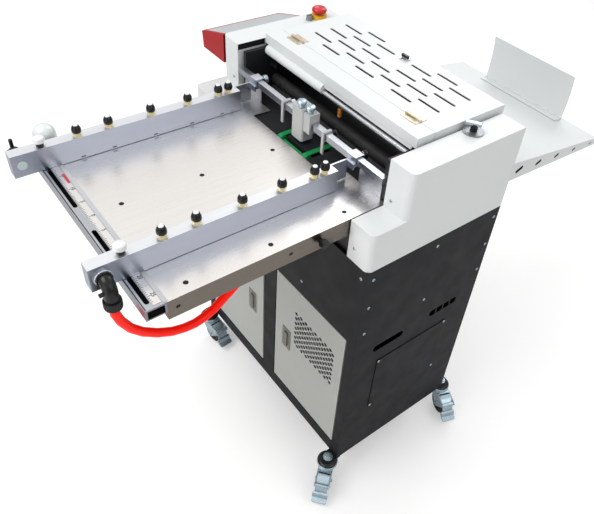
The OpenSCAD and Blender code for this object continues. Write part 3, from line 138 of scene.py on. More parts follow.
@dataclass(frozen=True)
class Finish(ABC):
    """A real surface finish that can be made into a Blender material.

    Attributes:
        name: What the finish is, in a maker's words.
        colour: Its sRGB hex colour.
        roughness: Its middle roughness.
        edge: Radius of the worn or folded edges, in millimetres.
    """

    name: str
    colour: str
    roughness: float = 0.5
    edge: float = 0.8

    def build(self) -> bpy.types.Material:
        """Makes the material, unless it is made already.

        Returns:
            The finish's material.
        """
        made = bpy.data.materials.get(self.name)
        if made is not None:
            return made
        made = bpy.data.materials.new(self.name)
        made.use_nodes = True
        tree = made.node_tree
        tree.nodes.clear()
        place = add_node(tree, "ShaderNodeTexCoord").outputs["Object"]
        shader = add_node(tree, "ShaderNodeBsdfPrincipled")
        shader.inputs["Base Color"].default_value = linear(self.colour)
        shader.inputs["Roughness"].default_value = self.roughness
        self.dress(tree, shader, place)
        add_node(tree, "ShaderNodeOutputMaterial", Surface=shader.outputs["BSDF"])
        made.diffuse_color = linear(self.colour)
        return made

    @abstractmethod
    def dress(
        self,
        tree: bpy.types.NodeTree,
        shader: bpy.types.Node,
        place: bpy.types.NodeSocket,
    ) -> None:
        """Adds the finish's own nodes to the shader.

        Args:
            tree: The material's node tree.
            shader: Its Principled shader.
            place: Object coordinates in metres.
        """

    def edges(self, tree: bpy.types.NodeTree) -> bpy.types.NodeSocket:
        """Returns a normal that rounds the solid's sharp folds by the edge radius."""
        bevel = add_node(tree, "ShaderNodeBevel", {"samples": 4}, Radius=self.edge * MM)
        return bevel.outputs["Normal"]

    def relief(
        self,
        tree: bpy.types.NodeTree,
        shader: bpy.types.Node,
        height: bpy.types.NodeSocket,
        depth: float,
        strength: float = 1.0,
    ) -> None:
        """Gives the shader a bump over its rounded edges.

        Args:
            tree: The material's node tree.
            shader: Its Principled shader.
            height: The bump's height, 0 to 1.
            depth: The height of 1 in millimetres.
            strength: How much of the bump shows.
        """
        bump = add_node(
            tree,
            "ShaderNodeBump",
            Strength=strength,
            Distance=depth * MM,
            Height=height,
            Normal=self.edges(tree),
        )
        tree.links.new(bump.outputs["Normal"], shader.inputs["Normal"])

    @staticmethod
    def mottle(
        tree: bpy.types.NodeTree,
        place: bpy.types.NodeSocket,
        size: float,
        low: float,
        high: float,
        detail: float = 3.0,
    ) -> bpy.types.NodeSocket:
        """Makes soft noise of a real grain size, mapped to a range.

        Args:
            tree: The material's node tree.
            place: The coordinates it follows, in metres.
            size: The grain in millimetres.
            low: The value of its dark spots.
            high: The value of its bright spots.
            detail: How many finer octaves it has.

        Returns:
            The noise's value.
        """
        noise = add_node(
            tree, "ShaderNodeTexNoise", Vector=place, Scale=1 / (size * MM), Detail=detail
        )
        return add_node(
            tree,
            "ShaderNodeMapRange",
            Value=noise.outputs["Fac"],
            From_Min=0.3,
            From_Max=0.7,
            To_Min=low,
            To_Max=high,
        ).outputs["Result"]

    def tinted(
        self,
        tree: bpy.types.NodeTree,
        shader: bpy.types.Node,
        fac: bpy.types.NodeSocket,
        other: str,
    ) -> None:
        """Mixes the finish's colour with another one by a factor.

        Args:
            tree: The material's node tree.
            shader: Its Principled shader.
            fac: The share of the other colour.
            other: The other sRGB hex colour.
        """
        mix = add_node(tree, "ShaderNodeMix", {"data_type": "RGBA"})
        tree.links.new(fac, mix.inputs[0])
        mix.inputs[6].default_value = linear(self.colour)
        mix.inputs[7].default_value = linear(other)
        tree.links.new(mix.outputs[2], shader.inputs["Base Color"])


@dataclass(frozen=True)
class PowderCoat(Finish):
    """Baked polyester powder on folded sheet: even colour, soft sheen and a fine orange peel.

    Attributes:
        peel: Size of the orange peel's dimples in millimetres. The real 1 mm is too fine to
            show, so it is drawn coarser.
        soil: The sRGB hex colour that handling leaves in faint broad patches.
        shine: Specular level of the resin.
    """

    peel: float = 2.4
    soil: str = "#8a8a86"
    shine: float = 0.5

    def dress(
        self, tree: bpy.types.NodeTree, shader: bpy.types.Node, place: bpy.types.NodeSocket
    ) -> None:
        """Adds peel, faint patches and an uneven sheen.

        Args:
            tree: The material's node tree.
            shader: Its Principled shader.
            place: Object coordinates in metres.
        """
        shader.inputs["Specular IOR Level"].default_value = self.shine
        self.tinted(tree, shader, self.mottle(tree, place, 160, 0.0, 0.07), self.soil)
        rough = self.mottle(tree, place, 60, self.roughness - 0.05, self.roughness + 0.06)
        tree.links.new(rough, shader.inputs["Roughness"])
        self.relief(tree, shader, self.mottle(tree, place, self.peel, 0.0, 1.0, 1.0), 0.03, 0.5)


@dataclass(frozen=True)
class BrushedMetal(Finish):
    """Metal sheet or bar with the fine parallel scratches of belt grinding or drawing.

    Attributes:
        along: The direction of the scratches.
        grain: Spacing of the scratches in millimetres, drawn coarser than the real 0.1 mm.
        scratch: Depth of the scratches in millimetres.
        shade: The sRGB hex colour of the darker streaks.
        upright: The sRGB hex colour painted on upright faces: a painted reflection of the room
            around them, a painted shade that makes them darker than the tops.
    """

    along: Axis = Axis.Y
    grain: float = 0.9
    scratch: float = 0.006
    shade: str = "#b4b5b8"
    upright: str = "#9b9ea6"

    def dress(
        self, tree: bpy.types.NodeTree, shader: bpy.types.Node, place: bpy.types.NodeSocket
    ) -> None:
        """Adds stretched scratches, streaks, a metal's reflection and painted shade on upright
        faces.

        Args:
            tree: The material's node tree.
            shader: Its Principled shader.
            place: Object coordinates in metres.
        """
        shader.inputs["Metallic"].default_value = 1.0
        squeeze = tuple(0.02 if a else 1.0 for a in self.along.value)
        mapping = add_node(tree, "ShaderNodeMapping", Vector=place, Scale=squeeze)
        stretched = mapping.outputs["Vector"]
        streak = self.mottle(tree, stretched, self.grain, 0.0, 1.0, 2.0)
        self.tinted(
            tree, shader, self.mottle(tree, stretched, self.grain * 3, 0.0, 0.35), self.shade
        )
        # Painted shade and reflection: faces whose object-space normal points less upward take the
        # darker upright colour.
        top = shader.inputs["Base Color"].links[0].from_socket
        normal = add_node(tree, "ShaderNodeTexCoord").outputs["Normal"]
        facing = add_node(tree, "ShaderNodeSeparateXYZ", Vector=normal)
        level = add_node(
            tree, "ShaderNodeMapRange", Value=facing.outputs["Z"], From_Min=0.3, From_Max=0.8
        )
        mix = add_node(
            tree, "ShaderNodeMix", {"data_type": "RGBA"}, in0=level.outputs["Result"], in7=top
        )
        mix.inputs[6].default_value = linear(self.upright)
        tree.links.new(mix.outputs[2], shader.inputs["Base Color"])
        rough = self.mottle(
            tree, stretched, self.grain * 2, self.roughness - 0.04, self.roughness + 0.05
        )
        tree.links.new(rough, shader.inputs["Roughness"])
        self.relief(tree, shader, streak, self.scratch, 0.3)


@dataclass(frozen=True)
class ZincPlate(Finish):
    """Bright zinc on pressed steel: a bluish metal with cloudy yellow and violet patches.

    Attributes:
        cloud: The sRGB hex colour of the passivated patches.
    """

    cloud: str = "#c9c2ae"

    def dress(
        self, tree: bpy.types.NodeTree, shader: bpy.types.Node, place: bpy.types.NodeSocket
    ) -> None:
        """Adds cloudy patches and a satin metal's reflection.

        Args:
            tree: The material's node tree.
            shader: Its Principled shader.
            place: Object coordinates in metres.
        """
        shader.inputs["Metallic"].default_value = 0.8
        self.tinted(tree, shader, self.mottle(tree, place, 14, 0.0, 0.6), self.cloud)
        rough = self.mottle(tree, place, 5, self.roughness - 0.08, self.roughness + 0.1)
        tree.links.new(rough, shader.inputs["Roughness"])
        self.relief(tree, shader, self.mottle(tree, place, 3, 0.0, 1.0), 0.02, 0.3)


@dataclass(frozen=True)
class MouldedPlastic(Finish):
    """Injection-moulded ABS or nylon: one colour through, with a spark-eroded texture.

    Attributes:
        spark: Grain of the mould's texture in millimetres.
        shine: Specular level of the resin.
    """

    spark: float = 0.8
    shine: float = 0.5

    def dress(
        self, tree: bpy.types.NodeTree, shader: bpy.types.Node, place: bpy.types.NodeSocket
    ) -> None:
        """Adds the mould's grain and rubbed spots.

        Args:
            tree: The material's node tree.
            shader: Its Principled shader.
            place: Object coordinates in metres.
        """
        shader.inputs["Specular IOR Level"].default_value = self.shine
        rough = self.mottle(tree, place, 9, self.roughness - 0.06, self.roughness + 0.08)
        tree.links.new(rough, shader.inputs["Roughness"])
        self.tinted(tree, shader, self.mottle(tree, place, 20, 0.0, 0.05), "#808080")
        self.relief(tree, shader, self.mottle(tree, place, self.spark, 0.0, 1.0, 1.0), 0.02, 0.4)


@dataclass(frozen=True)
class Rubber(Finish):
    """Vulcanised rubber or polyurethane: dull, with dust held in its fine grain.

    Attributes:
        dust: The sRGB hex colour of the dust.
        dusty: The most that the dust covers, 0 to 1.
        glow: How much the rubber glows in its own colour, a painted light that brightens it though
            it is no lamp.
    """

    dust: str = "#6f6b64"
    dusty: float = 0.25
    glow: float = 0.0

    def dress(
        self, tree: bpy.types.NodeTree, shader: bpy.types.Node, place: bpy.types.NodeSocket
    ) -> None:
        """Adds dust patches, grain and a painted glow.

        Args:
            tree: The material's node tree.
            shader: Its Principled shader.
            place: Object coordinates in metres.
        """
        shader.inputs["Specular IOR Level"].default_value = 0.25
        # Painted light: the emission makes the rubber glow in its own colour.
        shader.inputs["Emission Color"].default_value = linear(self.colour)
        shader.inputs["Emission Strength"].default_value = self.glow
        self.tinted(tree, shader, self.mottle(tree, place, 12, 0.0, self.dusty, 6.0), self.dust)
        self.relief(tree, shader, self.mottle(tree, place, 1.2, 0.0, 1.0), 0.04, 0.5)


@dataclass(frozen=True)
class PrintedFilm(Finish):
    """Screen-printed polyester film on a panel: even, smooth and slightly glossy."""

    def dress(
        self, tree: bpy.types.NodeTree, shader: bpy.types.Node, place: bpy.types.NodeSocket
    ) -> None:
        """Adds faint smears under a thin clear layer.

        Args:
            tree: The material's node tree.
            shader: Its Principled shader.
            place: Object coordinates in metres.
        """
        shader.inputs["Coat Weight"].default_value = 0.3
        shader.inputs["Coat Roughness"].default_value = 0.15
        self.tinted(tree, shader, self.mottle(tree, place, 40, 0.0, 0.1), "#8f9296")
        self.relief(tree, shader, self.mottle(tree, place, 2, 0.0, 1.0), 0.01, 0.2)


@dataclass(frozen=True)
class Finishes:
    """Every finish of the machine."""

    # Cabinet: frame, side and rear panels, front band
    charcoal: Finish = PowderCoat(
        "charcoal powder coat", "#101115", 0.56, 1.2, soil="#24262b", shine=0.22
    )
    # Doors
    door: Finish = PowderCoat(
        "light grey powder coat", "#b4b6b2", 0.5, 1.2, soil="#a0a19b", shine=0.4
    )
    # Covers, lid, guard tube, tray and backstop
    white: Finish = PowderCoat("white powder coat", "#dfe2e2", 0.42, 1.4, soil="#ccd0d0")
    # The head's inner frame, and the black nuts put as painted shade behind the table's flange
    # holes
    frame_black: Finish = PowderCoat(
        "black powder coat", "#1b1c1f", 0.5, 1.0, soil="#2b2d30", shine=0.3
    )
    # The console's shell
    red_shell: Finish = PowderCoat(
        "red powder coat", "#a80610", 0.38, 1.6, soil="#8e0d16", shine=0.2
    )
    # The separator's blocks and arms
    pale_grey: Finish = PowderCoat("pale grey paint", "#b4b6b6", 0.42, 1.2, soil="#9a9c9d")
    # Motor and blower
    machine_grey: Finish = PowderCoat("machine grey enamel", "#55595e", 0.5, 1.0, soil="#3c3f43")
    # Feed table and rule; their upright colour is the flanges' painted shade
    table: Finish = BrushedMetal(
        "brushed stainless sheet", "#f0ece8", 0.3, 0.8,
        along=Axis.Y, shade="#e4e0dc", upright="#7d756d",
    )
    # Ruler rail; its upright colour is painted shade
    rail: Finish = BrushedMetal(
        "brushed stainless rail", "#c3c5ca", 0.3, 0.6,
        along=Axis.X, shade="#aeb1b7", upright="#8d9098",
    )
    # The air guides' box sections; their upright colour is the sides' painted shade
    guide: Finish = BrushedMetal(
        "anodised aluminium profile", "#eef0f3", 0.34, 0.8,
        along=Axis.Y, shade="#e0e3e8", upright="#a0a6b4",
    )
    # Crossbar; the default upright colour paints shade on its upright faces
    bar: Finish = BrushedMetal(
        "drawn aluminium bar", "#cfd2d7", 0.3, 0.6, along=Axis.X, shade="#bcc0c6"
    )
    # Creasing beam and door pivots; the default upright colour paints shade on their upright faces
    ground: Finish = BrushedMetal("ground steel", "#b9bdc1", 0.25, 0.5, along=Axis.X, grain=0.6)
    # Castors, screws, nuts and the dial's arm
    zinc: Finish = ZincPlate("zinc-plated steel", "#a6bac6", 0.3, 0.7, cloud="#b4c2c6")
    # Door latches and the plates round them
    dull_zinc: Finish = ZincPlate("dull zinc-plated sheet", "#8b8a80", 0.5, 0.5, cloud="#7d7a70")
    # The valves' hexagon feet
    nickel: Finish = ZincPlate("nickel-plated brass", "#dccfa6", 0.3, 0.4, cloud="#c9b684")
    # Lid hinges
    passivated: Finish = ZincPlate(
        "yellow-passivated hinge steel", "#d3c8b8", 0.36, 0.5, cloud="#c2b394"
    )
    # Dial plate and selector
    satin: Finish = ZincPlate("satin dial steel", "#8e9194", 0.42, 0.5, cloud="#85888b")
    # Lid catch, guard rod, lock barrels and pipe rings
    chrome: Finish = ZincPlate("polished chrome", "#d5d8dc", 0.14, 0.4, cloud="#c8ccd2")
    # Elbows, valve collars, dust caps and small knobs
    black: Finish = MouldedPlastic("black nylon", "#08090a", 0.26, 0.5, shine=0.32)
    # The lock knobs' caps and the valves' tips
    pale: Finish = MouldedPlastic("white ABS", "#e6e7e8", 0.3, 0.6)
    # Filter bowl
    milky: Finish = MouldedPlastic("milky polycarbonate", "#dfe4e4", 0.18, 0.6)
    # The plug of the far guide's port
    plug: Finish = MouldedPlastic("pale green ABS", "#c3d2d2", 0.35, 0.6)
    # The stop button's collar
    yellow: Finish = MouldedPlastic("yellow ABS", "#e7b019", 0.35, 0.5)
    # Stop button
    red: Finish = MouldedPlastic("red ABS", "#c8101a", 0.28, 0.6)
    # The pin by the rollers
    amber: Finish = MouldedPlastic("amber polyurethane", "#b8742a", 0.3, 0.5)
    # Castor tyres
    tyre: Finish = Rubber("black tyre rubber", "#1a1a1c", 0.7, 1.0)
    # Feed roller and pinch roller
    roller: Finish = Rubber("black roller rubber", "#202123", 0.6, 0.5, dusty=0.1)
    # Suction belts
    belt: Finish = Rubber("green belt polyurethane", "#0f8a4c", 0.5, 0.4, dusty=0.06)
    # Air hose, brightened by a painted glow from its emission
    hose: Finish = Rubber(
        "red braided hose", "#ff1808", 0.34, 0.0, dust="#e01a08", dusty=0.15, glow=0.28
    )
    # The console's bare panel
    panel: Finish = PrintedFilm("grey console film", "#c4c8cb", 0.3, 0.3)
    # Ticks and numbers, and the painted shade in the screws' recessed crosses
    ink: Finish = PrintedFilm("black print", "#101114", 0.4, 0.0)
    # The mark at the rule's far end
    red_ink: Finish = PrintedFilm("red print", "#c0202a", 0.4, 0.0)
    # The strip between rail and table
    strip: Finish = PrintedFilm("grey step strip", "#b9bbbd", 0.45, 0.2)
    # Painted shade: black sheets put behind slots and openings, where there is only shade
    liner: Finish = Rubber("black painted liner", "#0b0b0d", 0.9, 0.0, dusty=0.03)


FINISH = Finishes()


# ---------------------------------------------------------------- modelling


@dataclass
class Workshop:
    """Models pieces with Blender's own tools and hands them to the frame.

    Attributes:
        middle_x: The cabinet's middle in the frame, in metres.
        middle_y: The same along the sheet's travel.
    """

    middle_x: float = field(init=False)
    middle_y: float = field(init=False)

    def __post_init__(self) -> None:
        """Finds the cabinet's middle from its solids."""
        low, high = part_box("rear_panel")
        self.middle_x = (low[0] + high[0]) / 2
        low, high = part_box("right_side_cover")
        self.middle_y = (low[1] + high[1]) / 2

    def point(self, x: float, y: float, z: float) -> Vector:
        """Turns millimetres of the machine into the frame's metres."""
        return Vector((x * MM + self.middle_x, y * MM + self.middle_y, z * MM))

    @staticmethod
    def deselect() -> None:
        """Leaves object mode with nothing selected."""
        if bpy.context.object is not None and bpy.context.object.mode != "OBJECT":
            bpy.ops.object.mode_set(mode="OBJECT")
        bpy.ops.object.select_all(action="DESELECT")

    def only(self, piece: bpy.types.Object) -> bpy.types.Object:
        """Selects one piece alone and makes it active.

        Args:
            piece: The piece.

        Returns:
            The same piece.
        """
        self.deselect()
        piece.select_set(True)
        bpy.context.view_layer.objects.active = piece
        return piece

    def settle(self, piece: bpy.types.Object) -> bpy.types.Object:
        """Applies a piece's place, turn and size to its mesh.

        Args:
            piece: The piece.

        Returns:
            The same piece, at the origin, unturned and unscaled.
        """
        self.only(piece)
        bpy.ops.object.transform_apply(location=True, rotation=True, scale=True)
        return piece

    def block(
        self, low: Point, high: Point, round_by: float = 0.6, steps: int = 2
    ) -> bpy.types.Object:
        """Models a block with rounded edges.

        Args:
            low: Its lowest corner in millimetres.
            high: Its highest corner in millimetres.
            round_by: Radius of its edges in millimetres.
            steps: Segments of the rounding.

        Returns:
            The block, with its place in its mesh.
        """
        self.deselect()
        a, b = self.point(*low), self.point(*high)
        bpy.ops.mesh.primitive_cube_add(size=1, location=(a + b) / 2)
        piece = bpy.context.object
        piece.scale = b - a
        self.settle(piece)
        bpy.ops.object.mode_set(mode="EDIT")
        bpy.ops.mesh.select_all(action="SELECT")
        bpy.ops.mesh.bevel(offset=round_by * MM, segments=steps, affect="EDGES")
        bpy.ops.object.mode_set(mode="OBJECT")
        return piece

    def turned(
        self,
        profile: Profile,
        at: Point,
        axis: Axis = Axis.Z,
        steps: int = 40,
        flip: bool = False,
    ) -> bpy.types.Object:
        """Models a turned piece from its half outline.

        Args:
            profile: Radius and height pairs in millimetres, from one pole to the other.
            at: The foot of its axis in millimetres.
            axis: The direction of its axis.
            steps: Facets round it.
            flip: Whether it points against the axis.

        Returns:
            The piece, with its place in its mesh.
        """
        self.deselect()
        bpy.ops.mesh.primitive_circle_add(vertices=3, radius=0.001, fill_type="NOTHING")
        piece = bpy.context.object
        bpy.ops.object.mode_set(mode="EDIT")
        bpy.ops.mesh.select_all(action="SELECT")
        bpy.ops.mesh.merge(type="CENTER")
        spot = Vector((0.0, 0.0, 0.0))
        for i, (radius, height) in enumerate(profile):
            goal = Vector((radius * MM, 0.0, height * MM))
            if i == 0:
                bpy.ops.transform.translate(value=goal)
            else:
                bpy.ops.mesh.extrude_region_move(TRANSFORM_OT_translate={"value": goal - spot})
            spot = goal
        bpy.ops.mesh.select_all(action="SELECT")
        bpy.ops.mesh.spin(steps=steps, angle=math.tau, center=(0, 0, 0), axis=(0, 0, 1))
        bpy.ops.mesh.select_all(action="SELECT")
        bpy.ops.mesh.remove_doubles(threshold=1e-6)
        bpy.ops.mesh.normals_make_consistent(inside=False)
        bpy.ops.object.mode_set(mode="OBJECT")
        heading = Vector(axis.value) * (-1 if flip else 1)
        turn = heading.to_track_quat("Z", "Y").to_matrix().to_4x4()
        piece.matrix_world = Matrix.Translation(self.point(*at)) @ turn
        self.settle(piece)
        bpy.ops.object.shade_smooth_by_angle(angle=math.radians(32))
        return piece

    def about(self, at: Point, degrees: float, axis: Axis) -> Matrix:
        """Works out a turn about an axis through a point.

        Args:
            at: The point in millimetres.
            degrees: The turn's angle.
            axis: The direction of its axis.

        Returns:
            The turn as a matrix in metres.
        """
        spot = self.point(*at)
        turn = Matrix.Rotation(math.radians(degrees), 4, Vector(axis.value))
        return Matrix.Translation(spot) @ turn @ Matrix.Translation(-spot)

    def place_local(self, piece: bpy.types.Object, matrix: Matrix) -> bpy.types.Object:
        """Moves a piece by a matrix and applies it."""
        piece.matrix_world = matrix @ piece.matrix_world
        return self.settle(piece)

    def copy(self, piece: bpy.types.Object, by: Vector) -> bpy.types.Object:
        """Copies a piece with its own mesh.

        Args:
            piece: The piece to copy.
            by: How far the copy is moved, in metres.

        Returns:
            The copy.
        """
        twin = piece.copy()
        twin.data = piece.data.copy()
        bpy.context.collection.objects.link(twin)
        twin.location = Vector(twin.location) + by
        return self.settle(twin)

    def joined(self, pieces: Sequence[bpy.types.Object], name: str) -> bpy.types.Object:
        """Joins pieces into one, which keeps all their materials.

        Args:
            pieces: The pieces, of which the first one stays.
            name: The name of the joined piece.

        Returns:
            The joined piece.
        """
        self.deselect()
        for piece in pieces:
            piece.select_set(True)
        bpy.context.view_layer.objects.active = pieces[0]
        if len(pieces) > 1:
            bpy.ops.object.join()
        pieces[0].name = name
        pieces[0].data.name = name
        return pieces[0]

    @staticmethod
    def coat(piece: bpy.types.Object, finish: Finish) -> bpy.types.Object:
        """Gives a piece one finish all over.

        Args:
            piece: The piece.
            finish: What it is coated with or made of.

        Returns:
            The same piece.
        """
        piece.data.materials.clear()
        piece.data.materials.append(finish.build())
        return piece

    @staticmethod
    def hand_over(
        piece: bpy.types.Object, name: str, body: str, slot: str, stands_for: Sequence[str] = ()
    ) -> bpy.types.Object:
        """Names a finished piece and hangs it on its body.

        Args:
            piece: The finished piece.
            name: Its name.
            body: The body it moves with.
            slot: Not used.
            stands_for: CAD nodes that it replaces.

        Returns:
            The piece.
        """
        piece.name = name
        piece.data.name = name
        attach(piece, body)
        if stands_for:
            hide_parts(*stands_for)
        log.info("piece %s rides on %s", name, body)
        return piece


SHOP = Workshop()


def dress_nodes(names: Sequence[str], finish: Finish) -> None:
    """Gives CAD nodes their finish.

    Args:
        names: The nodes.
        finish: What they are coated with or made of.
    """
    for name in names:
        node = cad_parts[name]
        node.data.materials.clear()
        node.data.materials.append(finish.build())
        SHOP.only(node)
        bpy.ops.object.shade_smooth_by_angle(angle=math.radians(28))


# ---------------------------------------------------------------- camera and light


@dataclass(frozen=True)
class Studio:
    """The camera that the photograph was taken with, and a plain studio.

    Attributes:
        eye: The camera's place in millimetres.
        yaw: Its heading from +Y towards -X in degrees.
        pitch: Its tilt in degrees.
        roll: Its roll in degrees.
        focal: Focal length in pixels.
        centre_u: The lens axis's column in the photograph.
        centre_v: The lens axis's row in the photograph.
        frame_w: The photograph's width in pixels.
        frame_h: The photograph's height in pixels.
        aim_z: The height on the machine's middle that the lamps look at, in millimetres.
    """

    eye: Point = (991.9, -899.7, 1775.1)
    yaw: float = 47.3
    pitch: float = -42.5
    roll: float = 6.5
    focal: float = 638.0
    centre_u: float = 336.0
    centre_v: float = 247.0
    frame_w: int = 594
    frame_h: int = 514
    aim_z: float = 750.0

    def camera(self) -> None:
        """Makes the camera."""
        yaw, pitch, roll = (math.radians(a) for a in (self.yaw, self.pitch, self.roll))
        ahead = Vector(
            (-math.sin(yaw) * math.cos(pitch), math.cos(yaw) * math.cos(pitch), math.sin(pitch))
        )
        level = ahead.cross(Vector((0, 0, 1))).normalized()
        upright = level.cross(ahead)
        right = level * math.cos(roll) + upright * math.sin(roll)
        up = upright * math.cos(roll) - level * math.sin(roll)
        data = bpy.data.cameras.new("camera")
        data.sensor_width = 36.0
        data.lens = self.focal / self.frame_w * data.sensor_width
        data.shift_x = -(self.centre_u - self.frame_w / 2) / self.frame_w
        data.shift_y = (self.centre_v - self.frame_h / 2) / self.frame_w
        data.clip_end = 50
        seen = bpy.data.objects.new("camera", data)
        bpy.context.collection.objects.link(seen)
        turn = Matrix((right, up, -ahead)).transposed().to_4x4()
        seen.matrix_world = Matrix.Translation(SHOP.point(*self.eye)) @ turn
        bpy.context.scene.camera = seen

    def lamp(self, name: str, at: Point, power: float, size: float) -> None:
        """Adds a soft box that looks at the head.

        Args:
            name: Its name.
            at: Its place in millimetres.
            power: Its power in watts.
            size: The length of its side in metres.
        """
        data = bpy.data.lights.new(name, "AREA")
        data.energy = power
        data.shape = "SQUARE"
        data.size = size
        lamp = bpy.data.objects.new(name, data)
        bpy.context.collection.objects.link(lamp)
        spot = SHOP.point(*at)
        aim = SHOP.point(0, 0, self.aim_z) - spot
        turn = aim.to_track_quat("-Z", "Y").to_matrix().to_4x4()
        lamp.matrix_world = Matrix.Translation(spot) @ turn

    def light(self) -> None:
        """Adds the lamps, the pale surroundings and the colour settings."""
        self.lamp("key soft box", (-700, -2300, 4000), 84, 2.4)
        self.lamp("side soft box", (3200, 600, 2600), 20, 2.2)
        self.lamp("front fill", (900, -3400, 1300), 22, 2.4)
        self.lamp("rear soft box", (-1500, 2800, 3200), 45, 2.0)
        world = bpy.data.worlds.new("studio")
        bpy.context.scene.world = world
        world.use_nodes = True
        tree = world.node_tree
        tree.nodes.clear()
        rays = add_node(tree, "ShaderNodeLightPath").outputs
        heading = add_node(tree, "ShaderNodeTexCoord").outputs["Generated"]
        height = add_node(tree, "ShaderNodeSeparateXYZ", Vector=heading).outputs["Z"]
        soft_level = add_node(
            tree,
            "ShaderNodeMapRange",
            Value=height,
            From_Min=-0.1,
            From_Max=0.8,
            To_Min=0.28,
            To_Max=0.66,
        )
        gloss_level = add_node(
            tree,
            "ShaderNodeMapRange",
            Value=height,
            From_Min=-0.1,
            From_Max=0.7,
            To_Min=0.35,
            To_Max=1.05,
        )
        white = linear("#ffffff")
        soft = add_node(
            tree, "ShaderNodeBackground", Color=white, Strength=soft_level.outputs["Result"]
        )
        gloss = add_node(
            tree, "ShaderNodeBackground", Color=white, Strength=gloss_level.outputs["Result"]
        )
        shown = add_node(tree, "ShaderNodeBackground", Color=white, Strength=1.0)
        bounced = add_node(
            tree,
            "ShaderNodeMixShader",
            Fac=rays["Is Glossy Ray"],
            in1=soft.outputs[0],
            in2=gloss.outputs[0],
        )
        mix = add_node(
            tree,
            "ShaderNodeMixShader",
            Fac=rays["Is Camera Ray"],
            in1=bounced.outputs[0],
            in2=shown.outputs[0],
        )
        add_node(tree, "ShaderNodeOutputWorld", Surface=mix.outputs[0])
        bpy.context.scene.view_settings.view_transform = "Standard"

    def floor(self) -> None:
        """Lays the plain pale floor."""
        SHOP.deselect()
        bpy.ops.mesh.primitive_plane_add(size=14, location=(0, 0, 0))
        ground = bpy.context.object
        SHOP.settle(ground)
        made = bpy.data.materials.new("pale studio floor")
        made.use_nodes = True
        tree = made.node_tree
        tree.nodes.clear()
        rays = add_node(tree, "ShaderNodeLightPath").outputs
        paint = add_node(
            tree, "ShaderNodeBsdfPrincipled", Base_Color=linear("#e9e9e8"), Roughness=0.9
        )
        glow = add_node(tree, "ShaderNodeEmission", Color=linear("#ffffff"), Strength=0.3)
        lit = add_node(tree, "ShaderNodeAddShader", in0=paint.outputs[0], in1=glow.outputs[0])
        mix = add_node(
            tree,
            "ShaderNodeMixShader",
            Fac=rays["Is Camera Ray"],
            in1=paint.outputs[0],
            in2=lit.outputs[0],
        )
        add_node(tree, "ShaderNodeOutputMaterial", Surface=mix.outputs[0])
        ground.data.materials.append(made)
        ground.name = "floor"


# ---------------------------------------------------------------- sub-assemblies


@dataclass(frozen=True)
class AirHose:
    """The red hose from the near guide's elbow to the blower's spigot.

    Attributes:
        route: The same points as in the part's source, in metres of the machine.
        diameter: Its outer diameter in metres.
        sides: Facets round it.
    """

    route: tuple[Point, ...] = (
        (0.215, -0.687, 0.922),
        (0.215, -0.687, 0.903),
        (0.214, -0.680, 0.878),
        (0.211, -0.665, 0.846),
        (0.208, -0.643, 0.817),
        (0.206, -0.615, 0.793),
        (0.204, -0.586, 0.775),
        (0.202, -0.558, 0.765),
        (0.200, -0.533, 0.761),
        (0.197, -0.508, 0.763),
        (0.195, -0.485, 0.771),
        (0.193, -0.460, 0.787),
        (0.192, -0.430, 0.809),
        (0.191, -0.398, 0.832),
        (0.190, -0.362, 0.853),
        (0.190, -0.320, 0.870),
        (0.190, -0.275, 0.880),
        (0.190, -0.240, 0.880),
    )
    diameter: float = 0.019
    sides: int = 20

    def build(self) -> None:
        """Makes the hose as a tube, in place of its solid."""
        path = [SHOP.point(*(c / MM for c in p)) for p in self.route]
        curve = bpy.data.curves.new("air_hose_tube", "CURVE")
        curve.dimensions = "3D"
        curve.bevel_depth = self.diameter / 2 - 0.0001
        curve.bevel_resolution = self.sides // 4
        curve.use_fill_caps = True
        line = curve.splines.new("POLY")
        line.points.add(len(path) - 1)
        for spot, place in zip(line.points, path):
            spot.co = (*place, 1.0)
        hose = bpy.data.objects.new("air_hose_tube", curve)
        bpy.context.collection.objects.link(hose)
        SHOP.only(hose)
        bpy.ops.object.convert(target="MESH")
        hose = bpy.context.object
        bpy.ops.object.shade_smooth()
        SHOP.coat(hose, FINISH.hose)
        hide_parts("air_hose")
        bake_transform(hose)
        log.info("piece air_hose_tube bends between guide_near and machine")


